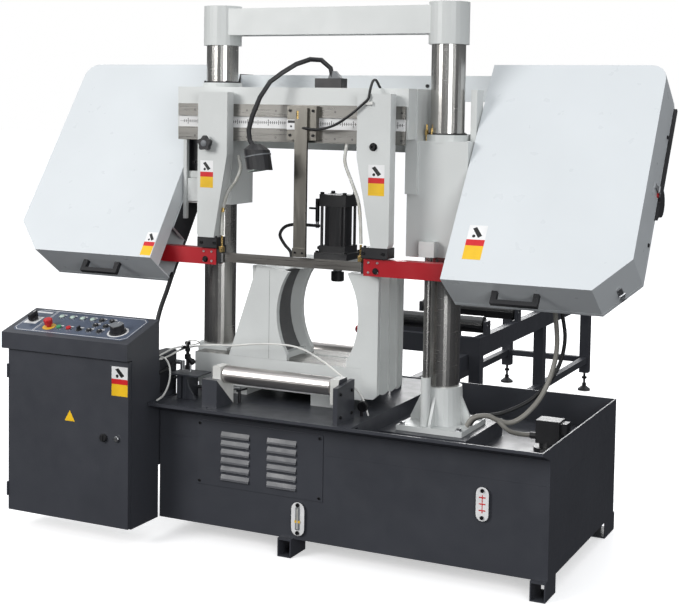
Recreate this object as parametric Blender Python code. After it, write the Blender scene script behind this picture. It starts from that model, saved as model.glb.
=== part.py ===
"""Horizontal band saw on two chrome columns, with its control cabinet and its infeed roller table.

The saw bow (beam, two tilted wheel boxes, blade) slides on the columns. The lower run of the blade is
turned upright by two guides and is fed down through the work, which a hydraulic vise holds on the bed.

Everything is drawn with x = 0 midway between the columns, y = 0 on the front edge of the tray and
z = 0 on the floor. The empty "machine" then carries it to the middle of its own bounding box.
"""

import math

import bmesh
import bpy
from mathutils import Matrix, Vector

# Overall layout
FRONT_Y = -0.150  # console lip, the foremost surface
BACK_Y = 4.020  # far end of the roller table
GAP = 0.0003  # between touching pieces
SLIDE_GAP = 0.0005  # between sliding faces
RIM_Z = 0.590
DECK_Z = 0.585
BED_Z = 0.765
BASE_LEFT, BASE_RIGHT = -0.603, 1.135
BASE_BACK = 1.085
TANK_FRONT = 0.098
TANK_LOW, TANK_TOP = 0.075, 0.440
SHEET = 0.006

# Front roller of the bed and the saw's lift cylinder
ROLLER_Y, FRONT_ROLLER_Z, FRONT_ROLLER_R = 0.130, 0.7220, 0.0375
LIFT_X, LIFT_Y, LIFT_R, LIFT_ROD_R = 0.510, 0.385, 0.020, 0.0145

# Columns and the tie beam over them
COLUMN_X, COLUMN_Y, COLUMN_R = 0.5415, 0.490, 0.071
COLUMN_TOP = 2.290
COLUMN_SIDES = 32

# Saw bow: the wheel boxes lean back by TILT; v runs up a cover's face, n out of it
TILT = math.radians(34.5)
FACE_Y, FACE_Z = 0.110, 1.195
COVER_IN, COVER_H, COVER_DEEP = 0.670, 1.030, 0.195
COVER_OUT = {-1: 1.417, 1: 1.403}  # left, right
EDGE_OUT = 1.417  # the right wheel box stands a little out of its cover
HINGE_X = 1.0435
COVER_WALL = 0.003
WALL_N = -0.080  # depth to which the cover's inner side reaches; the wheel box closes the rest
PLATE_N, PLATE_BACK_N = -0.1983, -0.2163
WHEEL_X, WHEEL_PATH_R = 1.0425, 0.310
WHEEL_SIDES = 36
BLADE_Y, BLADE_Z = 0.286, 1.1975
BLADE_W, BLADE_T = 0.041, 0.0020  # thickness across the set of the teeth
GUIDE_LEFT_X, GUIDE_RIGHT_X = -0.407, 0.262  # ends of the free cutting span
UPRIGHT_LEFT, UPRIGHT_RIGHT = -0.598, 0.360  # the blade has reached upright here

# Vise
JAW_FRONT, JAW_BACK = 0.318, 0.590
JAW_TOP = 1.164
CLAMP_X, CLAMP_Y = -0.0925, 0.780

# Roller table
TABLE_LEFT, TABLE_RIGHT, TABLE_FRONT = -0.365, 0.235, 1.815
ROLLER_PITCH, ROLLER_COUNT, FIRST_ROLLER_Y = 0.520, 4, 1.950
TABLE_ROLLER_R, TABLE_ROLLER_Z = 0.045, 0.720

# Control cabinet and its sloping console
CABINET_LEFT, CABINET_RIGHT = -1.235, -0.606
CABINET_FRONT, CABINET_BACK = -0.1135, 0.090
CABINET_LOW, HOOD_Z = 0.073, 0.789
LIP_X, LIP_Z = -1.260, 0.860
HOOD_BACK_Y, HOOD_BACK_Z = 0.087, 0.933
DOOR_FRONT = -0.136
KNOB_X, KNOB_Z = -0.729, 0.455
HOLE_DEPTH = 0.022
LAMP_X = (-1.069, -1.013, -0.959, -0.906)
BUTTONS = {  # centres on the console: x, distance up the slope
    "button_start": (-1.014, 0.084),
    "button_stop": (-0.963, 0.084),
    "button_saw_up": (-0.856, 0.182),
    "button_saw_down": (-0.803, 0.182),
    "button_vise_open": (-0.856, 0.134),
    "button_vise_close": (-0.803, 0.134),
    "button_clamp_up": (-0.856, 0.084),
    "button_clamp_down": (-0.803, 0.084),
}
ESTOP, SWITCH, SPEED, SELECTOR = (-1.067, 0.085), (-1.185, 0.132), (-0.717, 0.098), (-0.909, 0.084)
LENS = ((0, 0), (0.0115, 0), (0.0115, 0.008), (0.008, 0.012), (0, 0.012))  # a pilot lamp's profile
KNOB_HOLES = ((ESTOP, 0.0103), (SWITCH, 0.0063), (SPEED, 0.0063), (SELECTOR, 0.0083))

# Loose stop control beside the table
PENDANT_X, PENDANT_Y = TABLE_LEFT - 0.030 - GAP, TABLE_FRONT + 0.0275

X_AXIS, Y_AXIS, Z_AXIS = Vector((1, 0, 0)), Vector((0, 1, 0)), Vector((0, 0, 1))
BOW_V = Vector((0, math.sin(TILT), math.cos(TILT)))
BOW_N = Vector((0, -math.cos(TILT), math.sin(TILT)))
SLOPE = math.atan2(HOOD_BACK_Z - LIP_Z, HOOD_BACK_Y - FRONT_Y)
PANEL_N = Vector((0, -math.sin(SLOPE), math.cos(SLOPE)))


# ---------------------------------------------------------------- frames and places
def bow(x, v, n):
    """The point x along the machine, v up a cover's face and n out of it."""
    return Vector((x, FACE_Y, FACE_Z)) + BOW_V * v + BOW_N * n


def panel(x, s, h=0.0):
    """The point x along the console, s up its slope from the lip and h above it."""
    up_slope = Vector((0, math.cos(SLOPE), math.sin(SLOPE)))
    return Vector((x, FRONT_Y, LIP_Z)) + up_slope * s + PANEL_N * h


def along_x(a, b, h):
    return Vector((h, a, b))


def along_y(a, b, h):
    return Vector((a, h, b))


def along_z(a, b, h):
    return Vector((a, b, h))


BLADE_V = (BLADE_Y - FACE_Y) * math.sin(TILT) + (BLADE_Z - FACE_Z) * math.cos(TILT)
BLADE_N = (BLADE_Z - FACE_Z) * math.sin(TILT) - (BLADE_Y - FACE_Y) * math.cos(TILT)
WHEEL_V = BLADE_V + WHEEL_PATH_R


# ---------------------------------------------------------------- shapes
def object_of(mesh_edit, name="piece"):
    """An object of the edited mesh, its faces turned outwards."""
    bmesh.ops.recalc_face_normals(mesh_edit, faces=mesh_edit.faces)
    mesh = bpy.data.meshes.new(name)
    mesh_edit.to_mesh(mesh)
    mesh_edit.free()
    thing = bpy.data.objects.new(name, mesh)
    bpy.context.collection.objects.link(thing)
    return thing


def prism(outline, low, high, place):
    """The outline swept from low to high, set in space by place(a, b, h)."""
    edit = bmesh.new()
    near = [edit.verts.new(place(a, b, low)) for a, b in outline]
    far = [edit.verts.new(place(a, b, high)) for a, b in outline]
    edit.faces.new(near)
    edit.faces.new(far[::-1])
    for i in range(len(outline)):
        edit.faces.new((near[i - 1], near[i], far[i], far[i - 1]))
    return object_of(edit)


def box(x0, x1, y0, y1, z0, z1):
    return prism([(x0, y0), (x1, y0), (x1, y1), (x0, y1)], z0, z1, along_z)


def bow_box(x0, x1, v0, v1, n0, n1):
    return prism([(x0, v0), (x1, v0), (x1, v1), (x0, v1)], n0, n1, bow)


def panel_box(x0, x1, s0, s1, h0, h1):
    return prism([(x0, s0), (x1, s0), (x1, s1), (x0, s1)], h0, h1, panel)


def turned(profile, origin, axis, sides=24):
    """A turned solid. The profile is (radius, height) points; radius 0 closes it on the axis."""
    side = Y_AXIS if abs(axis.x) > 0.5 else X_AXIS
    across = axis.cross(side)
    edit = bmesh.new()
    rings = []
    for radius, height in profile:
        centre = origin + axis * height
        if radius == 0:
            rings.append([edit.verts.new(centre)])
            continue
        angles = [2 * math.pi * i / sides for i in range(sides)]
        rings.append(
            [edit.verts.new(centre + (side * math.cos(a) + across * math.sin(a)) * radius) for a in angles]
        )
    closed = profile[0][0] > 0
    for k in range(0 if closed else 1, len(rings)):
        low, high = rings[k - 1], rings[k]
        for i in range(sides):
            corners = [low[i - 1 if len(low) > 1 else 0], low[i if len(low) > 1 else 0]]
            corners += [high[i if len(high) > 1 else 0], high[i - 1 if len(high) > 1 else 0]]
            corners = list(dict.fromkeys(corners))
            if len(corners) > 2:
                edit.faces.new(corners)
    return object_of(edit)


def rod(start, end, radius, sides=16):
    start, end = Vector(start), Vector(end)
    length = (end - start).length
    profile = [(0, 0), (radius, 0), (radius, length), (0, length)]
    return turned(profile, start, (end - start).normalized(), sides)


def arc_through(first, middle, last, steps):
    """Points on the circle through three points, from first to last."""
    (x1, y1), (x2, y2), (x3, y3) = first, middle, last
    d = 2 * (x1 * (y2 - y3) + x2 * (y3 - y1) + x3 * (y1 - y2))
    s1, s2, s3 = x1 * x1 + y1 * y1, x2 * x2 + y2 * y2, x3 * x3 + y3 * y3
    cx = (s1 * (y2 - y3) + s2 * (y3 - y1) + s3 * (y1 - y2)) / d
    cy = (s1 * (x3 - x2) + s2 * (x1 - x3) + s3 * (x2 - x1)) / d
    radius = math.hypot(x1 - cx, y1 - cy)
    start, end = math.atan2(y1 - cy, x1 - cx), math.atan2(y3 - cy, x3 - cx)
    sweep = (end - start + math.pi) % (2 * math.pi) - math.pi
    angles = [start + sweep * i / steps for i in range(steps + 1)]
    return [(cx + radius * math.cos(a), cy + radius * math.sin(a)) for a in angles]


def inset(outline, by):
    """A convex outline moved inwards."""
    centre = Vector((sum(p[0] for p in outline), sum(p[1] for p in outline))) / len(outline)
    corners = []
    for i, here in enumerate(outline):
        here, back, ahead = Vector(here), Vector(outline[i - 1]), Vector(outline[(i + 1) % len(outline)])
        normals = []
        for edge in (here - back, ahead - here):
            normal = Vector((-edge.y, edge.x)).normalized()
            normals.append(normal if normal.dot(centre - here) > 0 else -normal)
        bisector = normals[0] + normals[1]
        corners.append(tuple(here + bisector * (by / (1 + normals[0].dot(normals[1])))))
    return corners


def combined(first, others, operation):
    """The first shape with the others joined to it or cut from it, as one settled mesh."""
    for other in others:
        modifier = first.modifiers.new(operation, "BOOLEAN")
        modifier.operation = operation
        modifier.solver = "EXACT"
        modifier.object = other
    if others:
        graph = bpy.context.evaluated_depsgraph_get()
        mesh = bpy.data.meshes.new_from_object(first.evaluated_get(graph))
        first.modifiers.clear()
        first.data = mesh
        for other in others:
            bpy.data.objects.remove(other)
    return first


def joined(*shapes):
    return combined(shapes[0], shapes[1:], "UNION")


def cut(shape, *cutters):
    return combined(shape, cutters, "DIFFERENCE")


# ---------------------------------------------------------------- materials, bodies and nodes
def paint(name, colour, roughness, metallic=0.0):
    """A Principled material, made once for each name."""
    if name in bpy.data.materials:
        return bpy.data.materials[name]
    material = bpy.data.materials.new(name)
    material.use_nodes = True
    shader = material.node_tree.nodes["Principled BSDF"]
    shader.inputs["Base Color"].default_value = (*colour, 1)
    shader.inputs["Roughness"].default_value = roughness
    shader.inputs["Metallic"].default_value = metallic
    return material


def slate():
    return paint("slate_paint", (0.062, 0.065, 0.075), 0.45)


def white():
    return paint("white_paint", (0.80, 0.82, 0.83), 0.35)


def grey():
    return paint("grey_paint", (0.62, 0.64, 0.63), 0.45)


def red():
    return paint("red_paint", (0.45, 0.02, 0.03), 0.40)


def chrome():
    return paint("chrome", (0.70, 0.68, 0.66), 0.15, 1.0)


def steel():
    return paint("ground_steel", (0.45, 0.43, 0.40), 0.35, 1.0)


def black():
    return paint("black_plastic", (0.02, 0.02, 0.022), 0.45)


def yellow():
    return paint("yellow_plastic", (0.80, 0.52, 0.05), 0.40)


def green():
    return paint("green_plastic", (0.10, 0.42, 0.20), 0.35)


def red_plastic():
    return paint("red_plastic", (0.50, 0.015, 0.02), 0.35)


def grey_plastic():
    return paint("grey_plastic", (0.30, 0.31, 0.32), 0.45)


def dark_iron():
    return paint("dark_iron", (0.05, 0.05, 0.052), 0.5, 0.5)


PIVOTS = {}


def pivot(name, at, parent=None):
    """An empty on a body's joint axis; at is in the drawing's coordinates."""
    empty = bpy.data.objects.new(name, None)
    bpy.context.collection.objects.link(empty)
    at = Vector(at)
    if parent:
        empty.parent = PIVOTS[parent][0]
        empty.location = at - PIVOTS[parent][1]
    else:
        empty.location = at + Vector((0, -(FRONT_Y + BACK_Y) / 2, 0))
    PIVOTS[name] = (empty, at)


def node(name, shape, material, body):
    """Names a finished shape and hangs it on its body's pivot."""
    empty, at = PIVOTS[body]
    shape.name = name
    shape.data.name = name
    shape.data.transform(Matrix.Translation(-at))
    shape.parent = empty
    shape.data.materials.clear()
    shape.data.materials.append(material)
    shape.data.shade_smooth()
    shape.data.set_sharp_from_angle(angle=math.radians(30))
    return shape


# ---------------------------------------------------------------- base
def tank():
    """Coolant and oil tank: an open-topped welded box on six stubs of square tube."""
    shell = cut(
        box(BASE_LEFT, BASE_RIGHT, TANK_FRONT, BASE_BACK, TANK_LOW, TANK_TOP),
        box(
            BASE_LEFT + SHEET,
            BASE_RIGHT - SHEET,
            TANK_FRONT + SHEET,
            BASE_BACK - SHEET,
            TANK_LOW + SHEET,
            TANK_TOP + SHEET,
        ),
    )
    feet = []
    half, wall, high = 0.031, 0.005, TANK_LOW + 0.003
    for x, front_y in ((-0.567, 0.430), (0.020, 0.075), (1.103, 0.075)):
        for y0, y1 in ((front_y, front_y + 0.135), (0.950, 1.110)):
            tube = box(x - half, x + half, y0, y1, 0, high)
            hollow = box(x - half + wall, x + half - wall, y0 - 0.1, y1 + 0.1, wall, high - 0.008)
            feet.append(cut(tube, hollow))
    oil_gauge = rounded_plate(0.076, 0.165, 0.060, 0.140, TANK_FRONT)
    coolant_gauge = rounded_plate(0.872, 0.341, 0.052, 0.134, TANK_FRONT)
    return joined(shell, *feet, oil_gauge, coolant_gauge)


def rounded_plate(x, z, width, height, y):
    """An upright plate with half-round ends, standing 12 mm out of the wall at y."""
    radius, rise = width / 2, (height - width) / 2
    outline = []
    for i in range(17):
        angle = math.pi * i / 8
        lift = rise if i <= 8 else -rise
        outline.append((x + radius * math.cos(angle), z + lift + radius * math.sin(angle)))
        if i == 8:
            outline.append((x - radius, z - rise))
    return prism(outline[:-1] + [(x + radius, z - rise)], y - 0.012, y + 0.003, along_y)


def tray():
    """Chip tray: deck on the left, open pit on the right, flared front and the roller's brackets."""
    low, pit_left = TANK_TOP + GAP, 0.329
    floor = box(pit_left, BASE_RIGHT, TANK_FRONT, BASE_BACK, low, low + 0.010)
    divider = box(pit_left, pit_left + SHEET, TANK_FRONT, BASE_BACK, low, DECK_Z)
    deck = box(BASE_LEFT, pit_left + SHEET, 0.020, BASE_BACK, DECK_Z - 0.010, DECK_Z)
    left = box(BASE_LEFT, BASE_LEFT + SHEET, TANK_FRONT, BASE_BACK, low, RIM_Z)
    right = box(BASE_RIGHT - SHEET, BASE_RIGHT, TANK_FRONT, BASE_BACK, low, RIM_Z)
    back = box(BASE_LEFT, BASE_RIGHT, BASE_BACK - SHEET, BASE_BACK, low, RIM_Z)
    front_outline = [
        (TANK_FRONT, low),
        (TANK_FRONT, 0.541),
        (0.0, 0.578),
        (0.0, RIM_Z),
        (0.008, RIM_Z),
        (0.008, 0.584),
        (TANK_FRONT + SHEET, 0.548),
        (TANK_FRONT + SHEET, low),
    ]
    front = prism(front_outline, BASE_LEFT, BASE_RIGHT, along_x)
    cheek = [(TANK_FRONT + SHEET, 0.541), (0.0, 0.578), (0.0, RIM_Z), (TANK_FRONT + SHEET, RIM_Z)]
    cheeks = [prism(cheek, x, x + SHEET, along_x) for x in (BASE_LEFT, BASE_RIGHT - SHEET)]
    plinth = box(pit_left + 0.003, 0.720, 0.300, 0.760, low, 0.520)
    body = joined(floor, divider, deck, left, right, back, front, *cheeks, plinth, *roller_brackets())
    lift_hole = rod((LIFT_X, LIFT_Y, 0.3), (LIFT_X, LIFT_Y, 0.6), LIFT_R + 0.0006)
    pedestal_hole = rod(
        (-COLUMN_X, COLUMN_Y, 0.5), (-COLUMN_X, COLUMN_Y, 0.6), COLUMN_R - 0.020
    )
    return cut(body, lift_hole, pedestal_hole)


def roller_brackets():
    """Posts that carry the front roller's bearing blocks, welded to the deck."""
    outline = [(0.043, 0.580), (0.203, 0.580), (0.203, 0.745), (0.175, 0.745), (0.043, 0.733)]
    right = prism(outline, 0.249, 0.269, along_x)
    right_block = box(0.2125, 0.252, 0.092, 0.168, 0.655, 0.758)
    left = box(-0.372, -0.300, 0.060, 0.200, 0.580, 0.705)
    left_block = box(-0.339, -0.3015, 0.092, 0.168, 0.690, 0.758)
    sockets = [
        rod((0.200, ROLLER_Y, FRONT_ROLLER_Z), (0.235, ROLLER_Y, FRONT_ROLLER_Z), 0.0155, 16),
        rod((-0.325, ROLLER_Y, FRONT_ROLLER_Z), (-0.290, ROLLER_Y, FRONT_ROLLER_Z), 0.0155, 16),
    ]
    return [joined(left, cut(left_block, sockets[1])), joined(right, cut(right_block, sockets[0]))]


def front_roller():
    axis_end, radius = 0.0245, FRONT_ROLLER_R
    left, right = -0.296, 0.207
    length = right - left
    profile = [
        (0, -axis_end),
        (0.015, -axis_end),
        (0.015, 0),
        (radius - 0.003, 0),
        (radius, 0.003),
        (radius, length - 0.003),
        (radius - 0.003, length),
        (0.015, length),
        (0.015, length + axis_end),
        (0, length + axis_end),
    ]
    return turned(profile, Vector((left, ROLLER_Y, FRONT_ROLLER_Z)), X_AXIS, 28)


def vent_panel():
    """Louvred service panel on the tank's front: two columns of six pressed louvres."""
    y = TANK_FRONT - GAP
    plate = box(-0.415, 0.183, y - 0.003, y, 0.248, 0.523)
    louvres = []
    for x0, x1 in ((-0.294, -0.159), (-0.074, 0.062)):
        for row in range(6):
            z = 0.278 + 0.0365 * row
            outline = [(y - 0.002, z), (y - 0.012, z), (y - 0.010, z + 0.008), (y - 0.002, z + 0.026)]
            louvres.append(prism(outline, x0, x1, along_x))
    return joined(plate, *louvres)


def right_column_base():
    """Bolted flange with gussets and a bored boss for the right column."""
    x, y, low = COLUMN_X, COLUMN_Y, 0.520 + GAP
    flange = box(x - 0.145, x + 0.145, y - 0.145, y + 0.145, low, low + 0.022)
    profile = [(0, 0), (0.094, 0), (0.085, 0.170), (0, 0.170)]
    boss = turned(profile, Vector((x, y, low + 0.010)), Z_AXIS, 28)
    gussets = []
    for dx, dy in ((1, 0), (-1, 0), (0, 1), (0, -1)):
        outline = [(0.05, 0.010), (0.138, 0.010), (0.138, 0.035), (0.088, 0.140), (0.05, 0.140)]

        def place(a, b, h, dx=dx, dy=dy):
            return Vector((x + dx * a + dy * h, y + dy * a + dx * h, low + b))

        gussets.append(prism(outline, -0.006, 0.006, place))
    bore = rod((x, y, low + 0.010), (x, y, 1.0), COLUMN_R + 0.0008, COLUMN_SIDES)
    lift_hole = rod((LIFT_X, LIFT_Y, 0.4), (LIFT_X, LIFT_Y, 1.0), LIFT_R + 0.0006)
    return cut(joined(flange, boss, *gussets), bore, lift_hole)


def column(side):
    foot = 0.5315 if side > 0 else 0.600
    profile = [(0, foot), (COLUMN_R, foot), (COLUMN_R, COLUMN_TOP), (0, COLUMN_TOP)]
    return turned(profile, Vector((side * COLUMN_X, COLUMN_Y, 0)), Z_AXIS, COLUMN_SIDES)


def top_beam():
    """Tie beam with a bored boss over each column."""
    beam = box(-COLUMN_X, COLUMN_X, COLUMN_Y - 0.058, COLUMN_Y + 0.058, 2.165, 2.282)
    bosses, bores = [], []
    for side in (-1, 1):
        at = Vector((side * COLUMN_X, COLUMN_Y, 0))
        bosses.append(turned([(0, 2.121), (0.085, 2.121), (0.085, 2.295), (0, 2.295)], at, Z_AXIS, 28))
        top = at + Z_AXIS * (COLUMN_TOP + 0.0005)
        bores.append(rod(at + Z_AXIS * 2.0, top, COLUMN_R + 0.0008, COLUMN_SIDES))
    return cut(joined(beam, *bosses), *bores)


def lift_cylinder():
    """Barrel that stands through the deck, open at its top for the lift rod."""
    bore = LIFT_ROD_R + 0.001
    profile = [(0, 0.120), (LIFT_R, 0.120), (LIFT_R, 0.745), (bore, 0.745), (bore, 0.160), (0, 0.160)]
    return turned(profile, Vector((LIFT_X, LIFT_Y, 0)), Z_AXIS, 20)


def bed():
    """Vise bed, cast in one with the left column's pedestal."""
    slab = box(-0.565, 0.247, JAW_FRONT, 0.640, 0.632, BED_Z)
    foot = box(0.011, 0.130, JAW_FRONT, 0.640, DECK_Z + GAP, 0.640)
    left_foot = box(-0.450, -0.330, JAW_FRONT + 0.050, 0.640, DECK_Z + GAP, 0.640)
    profile = [(0, 0), (0.094, 0), (0.091, 0.194), (0, 0.194)]
    pedestal = turned(profile, Vector((-COLUMN_X, COLUMN_Y, RIM_Z + GAP)), Z_AXIS, 28)
    half = COLUMN_R + 0.020
    plinth = box(BASE_LEFT + SHEET + GAP, -0.450, COLUMN_Y - half, COLUMN_Y + half, DECK_Z + GAP, 0.596)
    cap = box(BASE_LEFT + 0.004, -0.452, COLUMN_Y - half, COLUMN_Y + half, 0.700, 0.776)
    way = box(-0.440, 0.260, 0.500, 0.530, BED_Z - 0.012, BED_Z + 0.05)
    bore = rod(
        (-COLUMN_X, COLUMN_Y, 0.5995),
        (-COLUMN_X, COLUMN_Y, 1.0),
        COLUMN_R + 0.0008,
        COLUMN_SIDES,
    )
    return cut(joined(slab, foot, left_foot, plinth, pedestal, cap), bore, way)


def jaw_outline(side, shift, back_x):
    """Concave clamping face of a jaw; side is -1 for the moving jaw, 1 for the fixed one."""
    tip, deep, toe = (-0.105, -0.159, -0.107) if side < 0 else (0.180, 0.227, 0.175)
    face = arc_through((tip + shift, 1.148), (deep + shift, 0.970), (toe + shift, 0.790), 10)
    face += [(toe + shift, BED_Z + SLIDE_GAP)]
    top_x = -0.195 if side < 0 else 0.177
    return [(back_x, BED_Z + SLIDE_GAP), (back_x, JAW_TOP), (top_x + shift, JAW_TOP)] + face


def moving_jaw():
    """Left jaw: front and rear plates joined by a web, a foot and the bridge under the top clamp."""
    outer = [(-0.392, BED_Z + SLIDE_GAP), (-0.259, JAW_TOP)]
    front = prism(outer + jaw_outline(-1, 0, 0)[2:], JAW_FRONT, JAW_FRONT + 0.025, along_y)
    web = prism(jaw_outline(-1, -0.055, -0.290), JAW_FRONT + 0.020, 0.560, along_y)
    rear = prism(jaw_outline(-1, 0, -0.300), 0.552, 0.577, along_y)
    foot = box(-0.300, -0.130, JAW_FRONT + 0.020, 0.577, BED_Z + SLIDE_GAP, 0.790)
    bridge = box(-0.295, -0.008, 0.605, 0.865, 1.142, JAW_TOP)
    neck = box(-0.295, -0.125, 0.500, 0.640, 1.142, JAW_TOP)
    rib = prism([(0.570, 0.950), (0.570, 1.145), (0.780, 1.145)], -0.260, -0.240, along_x)
    hole = rod((CLAMP_X, CLAMP_Y, 1.0), (CLAMP_X, CLAMP_Y, 1.3), 0.0206)
    return cut(joined(web, front, rear, foot, neck, bridge, rib), hole)


def fixed_jaw():
    """Right jaw: a concave block with four upright ribs, hung on the end of the bed."""
    block = prism(jaw_outline(1, 0, 0.265), JAW_FRONT, JAW_BACK, along_y)
    outline = [
        (0.247 + GAP, 0.655),
        (0.262, 0.640),
        (0.300, 0.640),
        (0.318, 0.658),
        (0.318, JAW_TOP),
        (0.250, JAW_TOP),
        (0.247 + GAP, BED_Z),
    ]
    ribs = []
    for y0, y1 in ((JAW_FRONT, 0.343), (0.428, 0.446), (0.512, 0.530), (0.572, JAW_BACK)):
        ribs.append(prism(outline, y0, y1, along_y))
    end_plate = box(0.247 + GAP, 0.268, JAW_FRONT, JAW_BACK, 0.655, 0.900)
    return joined(block, *ribs, end_plate)


def clamp_cylinder():
    """Square-headed cylinder with four tie rods, on the moving jaw's bridge."""
    low = JAW_TOP + GAP
    profile = [(0, low + 0.02), (0.062, low + 0.02), (0.062, 1.440), (0, 1.440)]
    barrel = turned(profile, Vector((CLAMP_X, CLAMP_Y, 0)), Z_AXIS, 24)
    heads = []
    steps = ((low, low + 0.030, 0.082), (low + 0.025, low + 0.062, 0.066), (1.405, 1.458, 0.066))
    for z0, z1, half in steps:
        heads.append(box(CLAMP_X - half, CLAMP_X + half, CLAMP_Y - half, CLAMP_Y + half, z0, z1))
    ties = []
    for dx in (-0.056, 0.056):
        for dy in (-0.056, 0.056):
            foot = Vector((CLAMP_X + dx, CLAMP_Y + dy, low + 0.05))
            ties.append(rod(foot, foot + Z_AXIS * 0.231, 0.007, 10))
    bore = rod((CLAMP_X, CLAMP_Y, 1.1), (CLAMP_X, CLAMP_Y, 1.405), 0.0206)
    return cut(joined(barrel, *heads, *ties), bore)


def clamp_ram():
    profile = [(0, 1.060), (0.027, 1.060), (0.030, 1.064), (0.030, 1.104)]
    profile += [(0.020, 1.108), (0.020, 1.385), (0, 1.385)]
    return turned(profile, Vector((CLAMP_X, CLAMP_Y, 0)), Z_AXIS, 16)


def coolant_pump():
    """Immersion pump in the pit: flange, square motor, terminal box and the stub for its hose."""
    centre = Vector((0.982, 0.600, TANK_TOP + GAP + 0.010 + GAP))
    flange = turned([(0, 0), (0.068, 0), (0.068, 0.015), (0, 0.015)], centre, Z_AXIS, 20)
    neck = turned([(0, 0.010), (0.045, 0.010), (0.045, 0.040), (0, 0.040)], centre, Z_AXIS, 20)
    low = centre.z + 0.034
    motor = box(0.932, 1.032, 0.556, 0.640, low, low + 0.096)
    terminal_box = box(1.030, 1.060, 0.568, 0.628, low + 0.045, low + 0.088)
    stub = rod((0.900, 0.590, low + 0.022), (0.934, 0.590, low + 0.022), 0.014, 16)
    return joined(flange, neck, motor, terminal_box, stub)


# ---------------------------------------------------------------- control cabinet
def cabinet():
    """Hollow cabinet, open in front, with the console hood, pilot lamps and the cable gland."""
    shell = cut(
        box(CABINET_LEFT, CABINET_RIGHT, CABINET_FRONT, CABINET_BACK, CABINET_LOW, HOOD_Z + 0.02),
        box(
            CABINET_LEFT + 0.004,
            CABINET_RIGHT - 0.004,
            CABINET_FRONT - 0.1,
            CABINET_BACK - 0.004,
            CABINET_LOW + 0.004,
            HOOD_Z - 0.004,
        ),
    )
    outline = [
        (FRONT_Y, HOOD_Z),
        (FRONT_Y, LIP_Z),
        (HOOD_BACK_Y, HOOD_BACK_Z),
        (CABINET_BACK, HOOD_BACK_Z),
        (CABINET_BACK, HOOD_Z),
    ]
    hood = prism(outline, LIP_X, CABINET_RIGHT, along_x)
    lamps = []
    for i in range(4):
        at = panel(LAMP_X[i], 0.183, -0.002)
        lamps.append(turned(LENS, at, PANEL_N, 14))
    gland_at = Vector((-1.100, CABINET_BACK - 0.002, 0.150))
    gland = rod(gland_at, gland_at + Y_AXIS * 0.018, 0.014, 12)
    holes = [rod(panel(x, s, -HOLE_DEPTH), panel(x, s, 0.02), 0.0083, 14) for x, s in BUTTONS.values()]
    holes += [rod(panel(*at, -HOLE_DEPTH), panel(*at, 0.02), radius, 14) for at, radius in KNOB_HOLES]
    return cut(joined(shell, hood, gland, *lamps), *holes)


def push_button(at):
    """Cap of 22 mm over a stem that leaves it 5 mm of travel above the panel."""
    profile = [(0, -0.016), (0.0075, -0.016), (0.0075, 0.0055), (0.0115, 0.0055)]
    profile += [(0.0115, 0.0105), (0.0095, 0.012), (0, 0.012)]
    return turned(profile, panel(*at), PANEL_N, 16)


def emergency_stop(origin, axis):
    """Mushroom head of 40 mm on a stem."""
    profile = [
        (0, -0.014),
        (0.0095, -0.014),
        (0.0095, 0.012),
        (0.0170, 0.012),
        (0.0200, 0.030),
        (0.0195, 0.036),
        (0.0150, 0.040),
        (0, 0.041),
    ]
    return turned(profile, origin, axis, 20)


def main_switch():
    """Isolator handle: a round boss with a straight grip."""
    profile = [(0, -0.015), (0.0055, -0.015), (0.0055, 0.0045), (0.021, 0.0045), (0.021, 0.018), (0, 0.018)]
    base = turned(profile, panel(*SWITCH), PANEL_N, 20)
    x, s = SWITCH
    grip = panel_box(x - 0.007, x + 0.007, s - 0.026, s + 0.026, 0.010, 0.036)
    return joined(base, grip)


def speed_knob():
    profile = [
        (0, -0.015),
        (0.0055, -0.015),
        (0.0055, 0.0005),
        (0.037, 0.0005),
        (0.037, 0.007),
        (0.0315, 0.008),
        (0.0300, 0.036),
        (0.0275, 0.039),
        (0, 0.039),
    ]
    return turned(profile, panel(*SPEED), PANEL_N, 24)


def selector():
    x, s = SELECTOR
    profile = [(0, -0.016), (0.0075, -0.016), (0.0075, 0.001), (0.0115, 0.001), (0.0115, 0.007), (0, 0.007)]
    base = turned(profile, panel(x, s), PANEL_N, 16)
    grip = panel_box(x - 0.003, x + 0.003, s - 0.010, s + 0.010, 0.005, 0.018)
    return joined(base, grip)


def cabinet_door():
    """Sheet door with folded edges; it stands just in front of the cabinet."""
    leaf = box(CABINET_LEFT + 0.002, CABINET_RIGHT - 0.002, DOOR_FRONT, CABINET_FRONT - GAP, 0.078, 0.785)
    inside = (CABINET_LEFT + 0.006, CABINET_RIGHT - 0.006)
    hollow = box(*inside, DOOR_FRONT + 0.004, CABINET_FRONT + 0.1, 0.082, 0.781)
    hole = rod((KNOB_X, -0.2, KNOB_Z), (KNOB_X, 0.0, KNOB_Z), 0.0083, 14)
    lock_at = Vector((-0.663, DOOR_FRONT + 0.003, 0.457))
    lock = rod(lock_at, lock_at - Y_AXIS * 0.008, 0.013, 16)
    return cut(joined(cut(leaf, hollow), lock), hole)


def door_knob():
    """Quarter-turn knob with the cam that holds the door shut."""
    origin = Vector((KNOB_X, DOOR_FRONT, KNOB_Z))
    profile = [(0, -0.016), (0.0075, -0.016), (0.0075, SLIDE_GAP), (0.017, SLIDE_GAP)]
    profile += [(0.018, 0.006), (0.015, 0.0135), (0, 0.0135)]
    return turned(profile, origin, -Y_AXIS, 16)


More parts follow.
